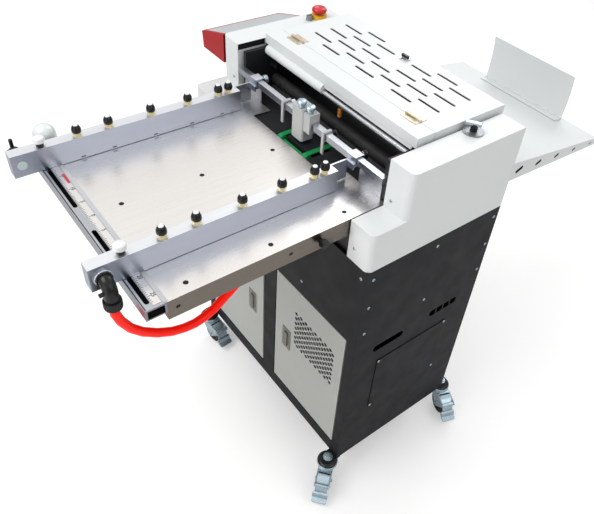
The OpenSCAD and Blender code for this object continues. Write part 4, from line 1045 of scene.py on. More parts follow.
@dataclass(frozen=True)
class Cabinet:
    """The dark cabinet with its doors, panels and screws.

    Attributes:
        half: Half its width in millimetres.
        front: The front's distance before the middle in millimetres.
        height: Its height in millimetres.
        deck: The height of its top above the floor in millimetres.
        row_shares: How far below the deck the side screws' rows lie, in shares of the height.
        rear_inset: The rear side screws' distance from the rear edge in millimetres.
        front_inset: The front ones' distance from the front edge in millimetres.
        middle_share: Where the middle side screws lie, as a share of the depth.
        face_screws: The front band's and the right cover's screws in millimetres.
        access_y: The access panel's screws along the sheet's travel, in millimetres.
        access_z: Their heights in millimetres.
        access_out: How far that panel stands off the side in millimetres.
        table_x: The feed table's screws across, in millimetres.
        table_y: The same along the sheet's travel.
        table_top: The feed table's height in millimetres.
        latch_x: The latches' distance from the middle in millimetres.
        latch_z: The height of the latches' spindles in millimetres.
    """

    half: float = 350.0
    front: float = 211.0
    height: float = 742.0
    deck: float = 847.0
    row_shares: tuple[float, ...] = (0.038, 0.158, 0.278)
    rear_inset: float = 14.0
    front_inset: float = 22.0
    middle_share: float = 0.51
    face_screws: tuple[Point, ...] = (
        (334.0, -211.0, 821.0),
        (136.0, -211.0, 644.0),
        (301.0, -211.0, 883.0),
        (301.0, -125.0, 972.0),
    )
    access_y: tuple[float, float] = (-119.5, 115.5)
    access_z: tuple[float, float] = (294.5, 487.6)
    access_out: float = 2.0
    table_x: tuple[float, ...] = (-255.0, -5.0, 255.0)
    table_y: tuple[float, ...] = (-568.0, -388.0, -208.0)
    table_top: float = 948.0
    latch_x: float = 85.5
    latch_z: float = 396.0

    def build(self) -> None:
        """Dresses the sheet metal and adds the latches' detail."""
        dress_nodes(
            [
                "cabinet_frame",
                "right_side_panel",
                "left_side_panel",
                "rear_panel",
                "front_band",
                "access_panel",
            ],
            FINISH.charcoal,
        )
        dress_nodes(["left_door", "right_door"], FINISH.door)
        dress_nodes(["door_hinges"], FINISH.ground)
        dress_nodes(["left_door_latch", "right_door_latch"], FINISH.dull_zinc)
        for side in Side:
            self.escutcheon(side)
        self.screws()

    def screw_spots(self) -> list[tuple[Point, float, Axis]]:
        """Works out where the pan-head screws stand.

        Returns:
            Each screw's place, and the degrees and the axis that turn its head outwards.
        """
        spots: list[tuple[Point, float, Axis]] = []
        edges = (self.front_inset - self.front, self.front - self.rear_inset)
        middle = (2 * self.middle_share - 1) * self.front
        for side in Side:
            sign = side.value
            for row, share in enumerate(self.row_shares):
                z = self.deck - share * self.height
                along = edges if row == 1 else (*edges, middle)
                spots += [((sign * self.half, y, z), sign * 90.0, Axis.Y) for y in along]
            spots += [((sign * x, y, z), 90.0, Axis.X) for x, y, z in self.face_screws]
        outer = self.half + self.access_out
        spots += [((outer, y, z), 90.0, Axis.Y) for y in self.access_y for z in self.access_z]
        return spots

    @staticmethod
    def pan_head() -> bpy.types.Object:
        """Makes a pan-head screw, with a black cross in ink as painted shade in its recessed cross.

        Returns:
            The screw, pointing up at the machine's middle.
        """
        head = SHOP.turned(
            [(0, -1), (4, -1), (4, 0.4), (3.5, 1.1), (2.4, 1.5), (0, 1.6)], (0, 0, 0), steps=28
        )
        SHOP.coat(head, FINISH.zinc)
        # Painted shade: a raised black cross in ink stands for the shade inside the recessed cross.
        recess_shade = [
            SHOP.block((-2.3, -0.5, 1.3), (2.3, 0.5, 1.72), 0.1, 1),
            SHOP.block((-0.5, -2.3, 1.3), (0.5, 2.3, 1.73), 0.1, 1),
        ]
        for slot in recess_shade:
            SHOP.coat(slot, FINISH.ink)
        return SHOP.joined([head, *recess_shade], "screw")

    @staticmethod
    def countersunk() -> bpy.types.Object:
        """Makes a dark countersunk screw in its dimple.

        Returns:
            The screw, pointing up at the machine's middle.
        """
        outline = [
            (0, -1.9), (4, -1.9), (4, 0), (5.3, 0.02),
            (5, 0.3), (3.4, 0.35), (2.6, -0.9), (0, -0.9),
        ]
        return SHOP.coat(SHOP.turned(outline, (0, 0, 0), steps=28), FINISH.black)

    def screws(self) -> None:
        """Copies the two kinds of screw to their places, in place of their solids."""
        screw, sunk = self.pan_head(), self.countersunk()
        base = SHOP.point(0, 0, 0)
        placed: list[bpy.types.Object] = []
        for at, degrees, axis in self.screw_spots():
            turn = Matrix.Rotation(math.radians(degrees), 4, Vector(axis.value))
            move = Matrix.Translation(SHOP.point(*at)) @ turn @ Matrix.Translation(-base)
            placed.append(SHOP.place_local(SHOP.copy(screw, Vector((0, 0, 0))), move))
        for x in self.table_x:
            for y in self.table_y:
                placed.append(SHOP.copy(sunk, Vector((x, y, self.table_top)) * MM))
        for pattern in (screw, sunk):
            bpy.data.objects.remove(pattern)
        SHOP.hand_over(
            SHOP.joined(placed, "screws"), "screw_set", "machine", "zinc", ["panel_screws"]
        )

    def escutcheon(self, side: Side) -> None:
        """Lays the zinc plate round a door's latch, with its keyhole.

        Args:
            side: The door.
        """
        x = side.value * self.latch_x
        plate = SHOP.block(
            (x - 18.3, -self.front - 2.4, self.latch_z - 60.3),
            (x + 18.3, -self.front - 0.2, self.latch_z + 18.3),
            1.0,
        )
        SHOP.coat(plate, FINISH.dull_zinc)
        barrel = SHOP.turned(
            [(0, -0.4), (5.4, -0.4), (5.4, 1.2), (4.6, 1.8), (0.9, 1.8), (0.9, 0.6), (0, 0.6)],
            (x, -self.front - 2.4, self.latch_z - 51),
            Axis.Y,
            32,
            flip=True,
        )
        SHOP.coat(barrel, FINISH.chrome)
        piece = SHOP.joined([plate, barrel], "latch_escutcheon")
        word = "right" if side is Side.RIGHT else "left"
        SHOP.hand_over(piece, f"{word}_latch_escutcheon", f"door_{word}", "zinc")


@dataclass(frozen=True)
class Castors:
    """The four braked swivel castors.

    Attributes:
        trail: The axle's distance behind the stem in millimetres.
        wheel: The wheel's radius in millimetres.
        width: The tread's width in millimetres.
        cup: The bearing cup's radius in millimetres.
        cup_z: The bearing cup's foot in millimetres.
        stem_x: The stems' distance from the middle in millimetres.
        stem_y: The same along the sheet's travel.
        lug_z: The lugs' upper face in millimetres.
        turns: The headings in degrees.
    """

    trail: float = 34.0
    wheel: float = 37.5
    width: float = 32.0
    cup: float = 30.0
    cup_z: float = 82.0
    stem_x: float = 332.0
    stem_y: float = 230.0
    lug_z: float = 105.0
    turns: tuple[float, ...] = (-50.0, -20.0, 4.0, 150.0)

    def build(self) -> None:
        """Dresses forks and pedals and makes tyres, hubs and cups."""
        dress_nodes([f"castor_fork_{c}" for c in CASTORS], FINISH.zinc)
        dress_nodes([f"castor_brake_{c}" for c in CASTORS], FINISH.zinc)
        spots = ((1, -1), (1, 1), (-1, -1), (-1, 1))
        for name, (sx, sy), turn in zip(CASTORS, spots, self.turns):
            stem = Matrix.Translation(SHOP.point(sx * self.stem_x, sy * self.stem_y, 0))
            heading = Matrix.Rotation(math.radians(turn), 4, "Z")
            swing = stem @ heading @ Matrix.Translation(-SHOP.point(0, 0, 0))
            self.wheel_piece(name, swing)
            self.cup_piece(name, swing)
        nuts = []
        for sx, sy in spots:
            nut = SHOP.turned(
                [
                    (0, 0.1), (9.9, 0.1), (9.9, 7.6), (8.8, 8.4),
                    (6, 8.4), (6, 10.2), (5.2, 10.8), (0, 10.8),
                ],
                (sx * self.stem_x, sy * self.stem_y, self.lug_z),
                steps=6,
            )
            washer = SHOP.turned(
                [(0, 0.05), (14, 0.05), (14.2, 0.5), (14, 1.3), (0, 1.4)],
                (sx * self.stem_x, sy * self.stem_y, self.lug_z),
            )
            nuts += [SHOP.coat(nut, FINISH.zinc), SHOP.coat(washer, FINISH.zinc)]
        SHOP.hand_over(SHOP.joined(nuts, "nuts"), "castor_nuts", "machine", "zinc")

    def wheel_piece(self, name: str, swing: Matrix) -> None:
        """Makes a wheel with its tyre and hub.

        Args:
            name: The castor's corner.
            swing: The castor's place and heading.
        """
        half, rim = self.width / 2, self.wheel
        tyre = SHOP.turned(
            [
                (rim - 11, -half + 3), (rim - 8, -half + 0.3), (rim - 5, -half),
                (rim - 2.5, -half + 1.2), (rim - 0.7, -half + 4), (rim, -half + 8),
                (rim, half - 8), (rim - 0.7, half - 4), (rim - 2.5, half - 1.2),
                (rim - 5, half), (rim - 8, half - 0.3), (rim - 11, half - 3),
                (rim - 11, -half + 3),
            ],
            (self.trail, 0, rim),
            Axis.Y,
            64,
        )
        SHOP.coat(tyre, FINISH.tyre)
        hub = SHOP.turned(
            [
                (4.05, -half - 1), (9.6, -half - 1), (10, -half - 0.4), (12, -half + 3.4),
                (rim - 14, -half + 4.5), (rim - 12.5, -half + 3), (rim - 11, -half + 3),
                (rim - 11, half - 3), (rim - 12.5, half - 3), (rim - 14, half - 4.5),
                (12, half - 3.4), (10, half + 0.4), (9.6, half + 1), (4.05, half + 1),
                (4.05, -half - 1),
            ],
            (self.trail, 0, rim),
            Axis.Y,
            64,
        )
        SHOP.coat(hub, FINISH.black)
        wheel = SHOP.place_local(SHOP.joined([tyre, hub], "wheel"), swing)
        SHOP.hand_over(
            wheel, f"wheel_{name}_tyre", f"wheel_{name}", "wheel_rubber", [f"castor_wheel_{name}"]
        )

    def cup_piece(self, name: str, swing: Matrix) -> None:
        """Makes the black dust cap on the fork's bearing cup.

        Args:
            name: The castor's corner.
            swing: The castor's place and heading.
        """
        r = self.cup
        cup = SHOP.turned(
            [
                (0, 14.6), (11, 14.6), (r - 7.6, 12.7), (r - 2.6, 9.6),
                (r - 1.2, 7.6), (r - 1.3, 6.9), (0, 6.9),
            ],
            (0, 0, self.cup_z),
        )
        SHOP.coat(cup, FINISH.black)
        SHOP.hand_over(
            SHOP.place_local(cup, swing), f"dust_cup_{name}", f"fork_{name}", "black_plastic"
        )


@dataclass(frozen=True)
class Head:
    """The creasing head: covers, lid, rollers, beam and what stands on the covers.

    Places are in millimetres.

    Attributes:
        top: The lid's height.
        cover_top: The covers' height.
        controls_x: The stop button's and the selector's distance left of the middle.
        dial_x: The dial's distance right of the middle.
        dial_y: The dial along the sheet's travel.
        stop_y: The stop button along the sheet's travel.
        key_y: The selector along the sheet's travel.
        seam_y: The lid's seam, where its hinges turn.
        hinge_x: The hinges' distance from the middle.
        catch_y: The lid's catch along the sheet's travel.
        liner_half: Half the width of the black sheet painted as shade under the lid's slots.
        liner_y: The sheet's front edge, the front of its opening and its rear edge.
        catch_room: Half the width of the opening for the catch.
        rod_at: The guard rod's left end.
        rod_long: The guard rod's length.
        pin_at: The foot of the amber pin.
        housing_shade_low: The lowest corner of the black sheet painted as shade inside the left
            housing.
        housing_shade_high: The sheet's highest corner.
    """

    top: float = 1080.0
    cover_top: float = 1065.0
    controls_x: float = 316.0
    dial_x: float = 300.0
    dial_y: float = 94.0
    stop_y: float = 150.0
    key_y: float = 118.0
    seam_y: float = 2.0
    hinge_x: float = 208.0
    catch_y: float = 171.0
    liner_half: float = 268.0
    liner_y: tuple[float, float, float] = (7.0, 140.0, 216.0)
    catch_room: float = 14.0
    rod_at: Point = (-33.0, -49.4, 1036.5)
    rod_long: float = 295.0
    pin_at: Point = (24.0, -42.0, 999.0)
    housing_shade_low: Point = (-282.0, -124.0, 1050.0)
    housing_shade_high: Point = (-281.4, -46.0, 1064.5)

    def build(self) -> None:
        """Dresses the head and adds its small detail."""
        dress_nodes(
            ["right_side_cover", "left_housing", "front_cover", "top_lid", "guard_tube"],
            FINISH.white,
        )
        dress_nodes(["head_frame"], FINISH.frame_black)
        dress_nodes(["lid_hinges"], FINISH.passivated)
        dress_nodes(["dial_lever"], FINISH.black)
        dress_nodes(["lid_latch"], FINISH.chrome)
        dress_nodes(["dial_plate"], FINISH.satin)
        dress_nodes(["feed_roller", "pinch_roller"], FINISH.roller)
        dress_nodes(["crease_beam"], FINISH.ground)
        dress_nodes(["drive_motor", "blower"], FINISH.machine_grey)
        dress_nodes(["estop_collar"], FINISH.yellow)
        self.selector()
        self.stop_button()
        self.dial_scale()
        self.latch_ring()
        self.moving_leaves()
        self.lid_liner()
        self.lever_cap()
        self.inner_fittings()

    def stop_button(self) -> None:
        """Makes the stop button with its dished cap, in place of its solid."""
        cap = SHOP.turned(
            [
                (0, -2), (5.9, -2), (5.9, 15.6), (15.5, 15.6),
                (18.6, 17), (20, 19.6), (20, 22.6), (19, 25.6),
                (16.6, 27.8), (13.8, 28.6), (11.4, 28.2), (6, 26.6), (0, 26),
            ],
            (-self.controls_x, self.stop_y, self.cover_top),
            steps=64,
        )
        SHOP.coat(cap, FINISH.red)
        SHOP.hand_over(cap, "stop_button_cap", "stop_button", "red_plastic", ["estop_button"])

    def dial_scale(self) -> None:
        """Prints the dial plate's ticks round its lever."""
        at = (self.dial_x, self.dial_y, self.cover_top + 3)
        ticks = []
        for i in range(13):
            long = 2.2 if i % 3 == 0 else 0.0
            x, y, z = at
            tick = SHOP.block(
                (x + 17 - long, y - 0.45, z - 0.05), (x + 21, y + 0.45, z + 0.2), 0.08, 1
            )
            ticks.append(
                SHOP.place_local(SHOP.coat(tick, FINISH.ink), SHOP.about(at, 125 + i * 15, Axis.Z))
            )
        SHOP.hand_over(SHOP.joined(ticks, "scale"), "dial_scale", "machine", "black_plastic")

    def lid_liner(self) -> None:
        """Lays a black sheet under the lid's slots as painted shade, open round the catch."""
        z0, z1 = self.top - 3.6, self.top - 2.1
        wide, room = self.liner_half, self.catch_room
        y0, y1, y2 = self.liner_y
        spans = (((-wide, y0), (wide, y1)), ((-wide, y1), (-room, y2)), ((room, y1), (wide, y2)))
        sheets = [SHOP.block((*low, z0), (*high, z1), 0.3, 1) for low, high in spans]
        for sheet in sheets:
            SHOP.coat(sheet, FINISH.liner)
        SHOP.hand_over(SHOP.joined(sheets, "liner"), "lid_liner", "lid", "black_plastic")

    def lever_cap(self) -> None:
        """Lays the silver cap over the dial lever's arm."""
        x, y, z = self.dial_x, self.dial_y, self.cover_top + 17
        cap = SHOP.block((x - 14.3, y - 6.3, z - 0.2), (x + 21.3, y + 6.3, z + 6.3), 1.4, 3)
        SHOP.place_local(SHOP.coat(cap, FINISH.zinc), SHOP.about((x, y, z), 215, Axis.Z))
        SHOP.hand_over(cap, "dial_lever_cap", "dial", "zinc")

    def inner_fittings(self) -> None:
        """Adds the guard rod's chrome, the amber pin by the rollers and a black sheet painted as
        shade inside the left housing.
        """
        end = self.rod_long
        rod = SHOP.turned([(0, 0), (5.6, 0), (5.6, end), (0, end)], self.rod_at, Axis.X, 32)
        pin = SHOP.turned([(0, 0), (5.5, 0), (5.5, 20), (4.6, 21), (0, 21)], self.pin_at, steps=32)
        # Painted shade: a thin black sheet inside the left housing.
        housing_shade_sheet = SHOP.block(self.housing_shade_low, self.housing_shade_high, 0.15, 1)
        for part, finish in ((rod, FINISH.chrome), (pin, FINISH.amber), (housing_shade_sheet, FINISH.liner)):
            SHOP.coat(part, finish)
        SHOP.hand_over(
            SHOP.joined([rod, pin, housing_shade_sheet], "fittings"), "inner_fittings", "machine", "steel"
        )

    def selector(self) -> None:
        """Makes the grey selector with its ridge, over its solid."""
        body = SHOP.turned(
            [(0, 0.2), (9, 0.2), (9, 2.4), (8.4, 3), (8.4, 11.4), (7.8, 12.4), (0, 12.6)],
            (-self.controls_x, self.key_y, self.cover_top),
        )
        ridge = SHOP.block(
            (-self.controls_x - 1.6, self.key_y - 6.6, self.cover_top + 12),
            (-self.controls_x + 1.6, self.key_y + 6.6, self.cover_top + 15.5),
            0.6,
        )
        for part in (body, ridge):
            SHOP.coat(part, FINISH.satin)
        SHOP.hand_over(
            SHOP.joined([body, ridge], "selector"), "selector_knob", "machine", "motor_paint"
        )

    def latch_ring(self) -> None:
        """Lays the silver ring under the lid's catch and the black cover on its wing."""
        y = self.catch_y
        wing = SHOP.block(
            (-11.4, y - 3.4, self.top + 3.2), (11.4, y + 3.4, self.top + 11.4), 1.6, 3
        )
        SHOP.coat(wing, FINISH.black)
        SHOP.hand_over(wing, "catch_wing", "lid_catch", "black_plastic")
        ring = SHOP.turned(
            [(12.4, 0.1), (14.6, 0.1), (14.4, 1.4), (13.6, 1.9), (12.4, 1.7), (12.4, 0.1)],
            (0, y, self.top),
        )
        SHOP.coat(ring, FINISH.chrome)
        SHOP.hand_over(ring, "catch_ring", "lid", "zinc")

    def moving_leaves(self) -> None:
        """Lays yellow-passivated steel leaves with screws over the lid's own hinge leaves."""
        for side in Side:
            x = side.value * self.hinge_x
            leaf = SHOP.block((x - 23, 6.5, self.top + 1.2), (x + 23, 18.2, self.top + 2.0), 0.2)
            heads = [
                SHOP.turned(
                    [(0, 0), (2.6, 0), (2.2, 0.8), (0.6, 1.0), (0, 1.0)],
                    (x + dx, 12.5, self.top + 1.8),
                    steps=20,
                )
                for dx in (-16, 16)
            ]
            knuckle = SHOP.turned(
                [(1.7, 0), (3.4, 0), (3.4, 14.6), (1.7, 14.6), (1.7, 0)],
                (x - 7.3, self.seam_y, self.top + 3.2),
                Axis.X,
                32,
            )
            for part in (leaf, *heads, knuckle):
                SHOP.coat(part, FINISH.passivated)
            word = "right" if side is Side.RIGHT else "left"
            SHOP.hand_over(
                SHOP.joined([leaf, *heads, knuckle], "leaf"), f"lid_leaf_{word}", "lid", "brass"
            )


@dataclass(frozen=True)
class Console:
    """The red console on the left housing, with its bare pale panel.

    Attributes:
        outer: Its outer edge's distance from the middle in millimetres.
        wall: The housing's outer face in millimetres.
        y_low: Its front along the sheet's travel, in millimetres.
        length: Its length in millimetres.
        top: The height of its panel at the housing in millimetres.
        fall: How far the panel falls outwards in millimetres.
        border: The shell's rim round the film in millimetres.
    """

    outer: float = 459.0
    wall: float = 350.0
    y_low: float = -125.0
    length: float = 245.0
    top: float = 1063.0
    fall: float = 33.0
    border: float = 9.0

    def build(self) -> None:
        """Dresses the shell and lays the panel's film."""
        dress_nodes(["console_shell"], FINISH.red_shell)
        slope = self.fall / (self.outer - self.wall)
        b, lift = self.border, 1.0
        film = SHOP.block(
            (-self.outer + b, self.y_low + b, self.top - 0.2),
            (-self.wall - b * 0.6, self.y_low + self.length - b, self.top + lift),
            0.3,
        )
        SHOP.coat(film, FINISH.panel)
        hinge = SHOP.point(-self.wall, 0, self.top)
        tilt = (
            Matrix.Translation(hinge)
            @ Matrix.Rotation(-math.atan(slope), 4, "Y")
            @ Matrix.Translation(-hinge)
        )
        SHOP.place_local(film, tilt)
        SHOP.hand_over(film, "console_film", "machine", "cover_paint")


@dataclass(frozen=True)
class Feed:
    """The feed table, ruler rail, crossbar, belts and separator.

    Attributes:
        table_top: The table's height in millimetres.
        half: Half the table's width in millimetres.
        rail_front: The rail's front face along the sheet's travel, in millimetres.
        rail_back: The rail's rear face in millimetres.
        floor_z: How far below the table the rail's inner floor lies, in millimetres.
        nut_y: The bracket holes along the sheet's travel, in millimetres.
        nut_z: How far below the table their middles lie, in millimetres.
        step: The rule's spacing of ticks in millimetres.
        ticks: How many ticks stand on either side of the zero.
        mark_x: The ends of the red mark in millimetres.
        thumb_y: The thumb knob along the sheet's travel, in millimetres.
        thumb_z: Its height in millimetres.
    """

    table_top: float = 948.0
    half: float = 279.0
    rail_front: float = -657.0
    rail_back: float = -617.0
    floor_z: float = 22.9
    nut_y: tuple[float, float] = (-597.0, -357.0)
    nut_z: float = 22.5
    step: float = 5.0
    ticks: int = 53
    mark_x: tuple[float, float] = (-156.0, -120.0)
    thumb_y: float = -287.0
    thumb_z: float = 927.75

    def build(self) -> None:
        """Dresses the feed side and lays the ruler."""
        dress_nodes(["feed_table"], FINISH.table)
        dress_nodes(["ruler_rail"], FINISH.rail)
        dress_nodes(["crossbar"], FINISH.bar)
        dress_nodes(["suction_belt"], FINISH.belt)
        dress_nodes(["separator"], FINISH.pale_grey)
        dress_nodes(["separator_knob_left", "separator_knob_right"], FINISH.zinc)
        self.ruler()
        self.step_strip()
        self.thumb_knob()
        self.rail_liner()
        self.hole_shade_nuts()

    def rail_liner(self) -> None:
        """Lays a black sheet at the bottom of the hollow rail as painted shade under its slots."""
        z = self.table_top - self.floor_z
        sheet = SHOP.block(
            (-self.half + 1, self.rail_front + 4.3, z),
            (self.half - 1, self.rail_back - 4.3, z + 1.2),
            0.3,
            1,
        )
        SHOP.coat(sheet, FINISH.liner)
        SHOP.hand_over(sheet, "rail_liner", "machine", "black_plastic")

    def hole_shade_nuts(self) -> None:
        """Makes black nuts behind the flanges' bracket holes as painted shade, which darkens the
        holes.
        """
        nuts = []
        for side in Side:
            for y in self.nut_y:
                at = (side.value * (self.half - 2.1), y, self.table_top - self.nut_z)
                nut = SHOP.turned(
                    [(0, 0), (7.6, 0), (8, 0.5), (8, 6), (7.2, 7), (0, 7)],
                    at,
                    Axis.X,
                    6,
                    flip=side is Side.RIGHT,
                )
                nuts.append(SHOP.coat(nut, FINISH.frame_black))
        SHOP.hand_over(SHOP.joined(nuts, "nuts"), "bracket_hole_shade_nuts", "machine", "black_plastic")

    def ruler(self) -> None:
        """Lays the steel rule with its ticks and plain numbers on the rail."""
        z = self.table_top
        y0, y1 = self.rail_front + 18.5, self.rail_back - 6.5
        blade = SHOP.block((-self.half + 6, y0, z - 0.1), (self.half - 6, y1, z + 0.6), 0.15)
        SHOP.coat(blade, FINISH.table)
        parts = [blade]
        ticks: list[bpy.types.Object] = []
        for i in range(-self.ticks, self.ticks + 1):
            x = i * self.step
            reach = 6.5 if i % 10 == 0 else 4.6 if i % 5 == 0 else 3.0
            low, high = (x - 0.6, y0 + 0.4, z + 0.55), (x + 0.6, y0 + reach, z + 0.72)
            ticks.append(SHOP.block(low, high, 0.05, 1))
        for tick in ticks:
            SHOP.coat(tick, FINISH.ink)
        parts += ticks
        for i in range(-self.ticks // 10 + 1, self.ticks // 10 + 1):
            word, x = str(abs(i) * 5), 10 * i * self.step
            parts.append(self.number(word, x, y0 + 7.4, z + 0.65))
        x0, x1 = self.mark_x
        mark = SHOP.block((x0, y0 + 9.5, z + 0.5), (x1, y1, z + 0.8), 0.1, 1)
        parts.append(SHOP.coat(mark, FINISH.red_ink))
        SHOP.hand_over(SHOP.joined(parts, "ruler"), "rule_with_numbers", "machine", "steel")

    @staticmethod
    def number(word: str, x: float, y: float, z: float) -> bpy.types.Object:
        """Makes a small printed number lying on the rule.

        Args:
            word: The number.
            x: Its middle in millimetres.
            y: Its foot in millimetres.
            z: Its height in millimetres.

        Returns:
            The number as a mesh, with its place applied.
        """
        SHOP.deselect()
        bpy.ops.object.text_add(location=SHOP.point(x, y, z))
        text = bpy.context.object
        text.data.body = word
        text.data.size = 10.5 * MM
        text.data.offset = 0.25 * MM
        text.data.align_x = "CENTER"
        text.data.extrude = 0.05 * MM
        SHOP.only(text)
        bpy.ops.object.convert(target="MESH")
        made = bpy.context.object
        SHOP.settle(made)
        return SHOP.coat(made, FINISH.ink)

    def step_strip(self) -> None:
        """Lays the grey strip between the rail and the table."""
        strip = SHOP.block(
            (-self.half + 2, self.rail_back - 5.5, self.table_top - 0.1),
            (self.half - 2, self.rail_back + 3.5, self.table_top + 0.9),
            0.4,
        )
        SHOP.coat(strip, FINISH.strip)
        bead = SHOP.block(
            (-self.half + 2, self.rail_front + 1.0, self.table_top - 0.1),
            (self.half - 2, self.rail_front + 3.2, self.table_top + 0.7),
            0.3,
        )
        SHOP.coat(bead, FINISH.ink)
        SHOP.hand_over(SHOP.joined([strip, bead], "strips"), "rail_strips", "machine", "steel")

    def thumb_knob(self) -> None:
        """Makes the cap of the thumb knob on the right flange."""
        knob = SHOP.turned(
            [
                (0, -7.8), (6.2, -7.8), (6.2, 0.2), (9.4, 0.2),
                (9.8, 1.4), (9.8, 11.8), (9.2, 12.5), (0, 12.6),
            ],
            (self.half + 8, self.thumb_y, self.thumb_z),
            Axis.X,
            48,
        )
        SHOP.coat(knob, FINISH.black)
        SHOP.hand_over(knob, "thumb_knob_cap", "machine", "black_plastic")


@dataclass(frozen=True)
class AirGuides:
    """Both air guides with valves, lock knobs, plugs and elbows.

    Places are in millimetres.

    Attributes:
        near_x: The near guide's middle.
        far_x: The far guide's middle.
        half: Half a guide's width.
        front: The guides' front ends along the sheet's travel.
        top: The guides' height.
        lock_y: The lock knobs along the sheet's travel.
        bar_back: The rear face of the clamps on the crossbar.
        bar_z: The height of the crossbar's middle.
        elbow_y: The ports at the guides' front ends.
        elbow_z: The ports' height.
        elbow_out: The near elbow's reach from the guide's face.
        sleeve_z: The foot of the near elbow's sleeve.
        bowl_at: The filter bowl's foot, from the far guide's middle.
        valve_at: The valves' distances from the guides' front ends.
    """

    near_x: float = 177.5
    far_x: float = -200.5
    half: float = 13.5
    front: float = -710.0
    top: float = 1000.0
    lock_y: float = -645.0
    bar_back: float = -114.0
    bar_z: float = 1003.5
    elbow_y: float = -687.0
    elbow_z: float = 974.5
    elbow_out: float = 24.0
    sleeve_z: float = 922.0
    bowl_at: Point = (-49.5, -620.0, 954.0)
    valve_at: tuple[float, ...] = (142.0, 211.0, 309.0, 400.0, 480.0, 507.0)

    def build(self) -> None:
        """Dresses the guides and makes their valves and knobs."""
        dress_nodes(["near_guide", "far_guide"], FINISH.guide)
        dress_nodes(["near_elbow", "far_elbow"], FINISH.black)
        self.elbow_trim()
        self.bowl_dome()
        self.port_plug()
        knobs: tuple[tuple[float, bool, str, Finish], ...] = (
            (self.near_x, True, "guide_near", FINISH.black),
            (self.far_x, True, "guide_far", FINISH.zinc),
            (-76, False, "sheet_separator", FINISH.chrome),
            (78, False, "sheet_separator", FINISH.black),
        )
        for x, large, body, finish in knobs:
            self.bar_knob(x, large, body, finish)
        for word, x in (("near", self.near_x), ("far", self.far_x)):
            valves = [self.valve(x, self.front + v) for v in self.valve_at]
            SHOP.hand_over(
                SHOP.joined(valves, "valves"),
                f"{word}_valve_set",
                f"guide_{word}",
                "brass",
                [f"{word}_valves"],
            )
            SHOP.hand_over(
                self.lock_knob(x),
                f"{word}_lock_knob_set",
                f"lock_{word}",
                "white_plastic",
                [f"{word}_lock_knob"],
            )

    def bar_knob(self, x: float, large: bool, body: str, finish: Finish) -> None:
        """Caps a clamp screw behind the crossbar.

        Args:
            x: Its middle in millimetres.
            large: Whether it is a guide's large knob, or a separator arm's small one.
            body: The body that it moves with.
            finish: What it is made of.
        """
        r, long, out = (10.4, 10.4, 10) if large else (7.4, 12.4, 4)
        cap = SHOP.turned(
            [(0, 0.2), (r - 0.6, 0.2), (r, 0.9), (r, long - 1.2), (r - 1.2, long), (0, long)],
            (x, self.bar_back + out, self.bar_z),
            Axis.Y,
            36,
        )
        name = f"bar_knob_{body}_{round(x)}"
        SHOP.hand_over(SHOP.coat(cap, finish), name, body, "white_plastic")

    def elbow_trim(self) -> None:
        """Adds the chrome ring at the near guide's face and the ribs of the elbow's sleeve."""
        face_x, y, z = self.near_x + self.half, self.elbow_y, self.elbow_z
        ring = SHOP.turned(
            [
                (12, 0.1), (16.6, 0.1), (17, 0.6), (17, 4),
                (16.4, 4.8), (15.2, 5), (12, 5), (12, 0.1),
            ],
            (face_x, y, z),
            Axis.X,
            48,
        )
        SHOP.coat(ring, FINISH.chrome)
        parts = [ring]
        x, foot, ribs = face_x + self.elbow_out, self.sleeve_z, 24
        for i in range(ribs):
            rib = SHOP.block(
                (x + 15.6, y - 0.8, foot + 1.2), (x + 16.7, y + 0.8, foot + 16.8), 0.3, 1
            )
            turn = SHOP.about((x, y, foot), i * 360 / ribs, Axis.Z)
            parts.append(SHOP.place_local(SHOP.coat(rib, FINISH.black), turn))
        SHOP.hand_over(SHOP.joined(parts, "trim"), "near_elbow_trim", "guide_near", "black_plastic")

    def bowl_dome(self) -> None:
        """Makes the milky dome of the far guide's filter bowl, and its clamp ring."""
        x, y, z = self.bowl_at
        at = (self.far_x + x, y, z)
        dome = SHOP.turned(
            [
                (0, 14), (23.7, 14), (23.8, 36.4), (22.9, 43),
                (20.4, 49), (16.6, 53.4), (11.6, 57), (6, 59.3),
                (0, 60),
            ],
            at,
            steps=48,
        )
        band = SHOP.turned(
            [(22, 12), (24.4, 12), (24.7, 12.6), (24.7, 18.4), (24.4, 19), (22, 19), (22, 12)],
            at,
            steps=48,
        )
        SHOP.coat(dome, FINISH.milky)
        SHOP.coat(band, FINISH.black)
        SHOP.hand_over(
            SHOP.joined([dome, band], "dome"), "far_bowl_dome", "guide_far", "white_plastic"
        )

    def port_plug(self) -> None:
        """Makes the plug that closes the far guide's unused port."""
        plug = SHOP.turned(
            [(0, 0.1), (9.8, 0.1), (9.8, 1.6), (9.1, 2.3), (0, 2.4)],
            (self.far_x + self.half, self.elbow_y - 3, self.elbow_z + 0.5),
            Axis.X,
            32,
        )
        SHOP.coat(plug, FINISH.plug)
        SHOP.hand_over(plug, "far_port_plug", "guide_far", "white_plastic")

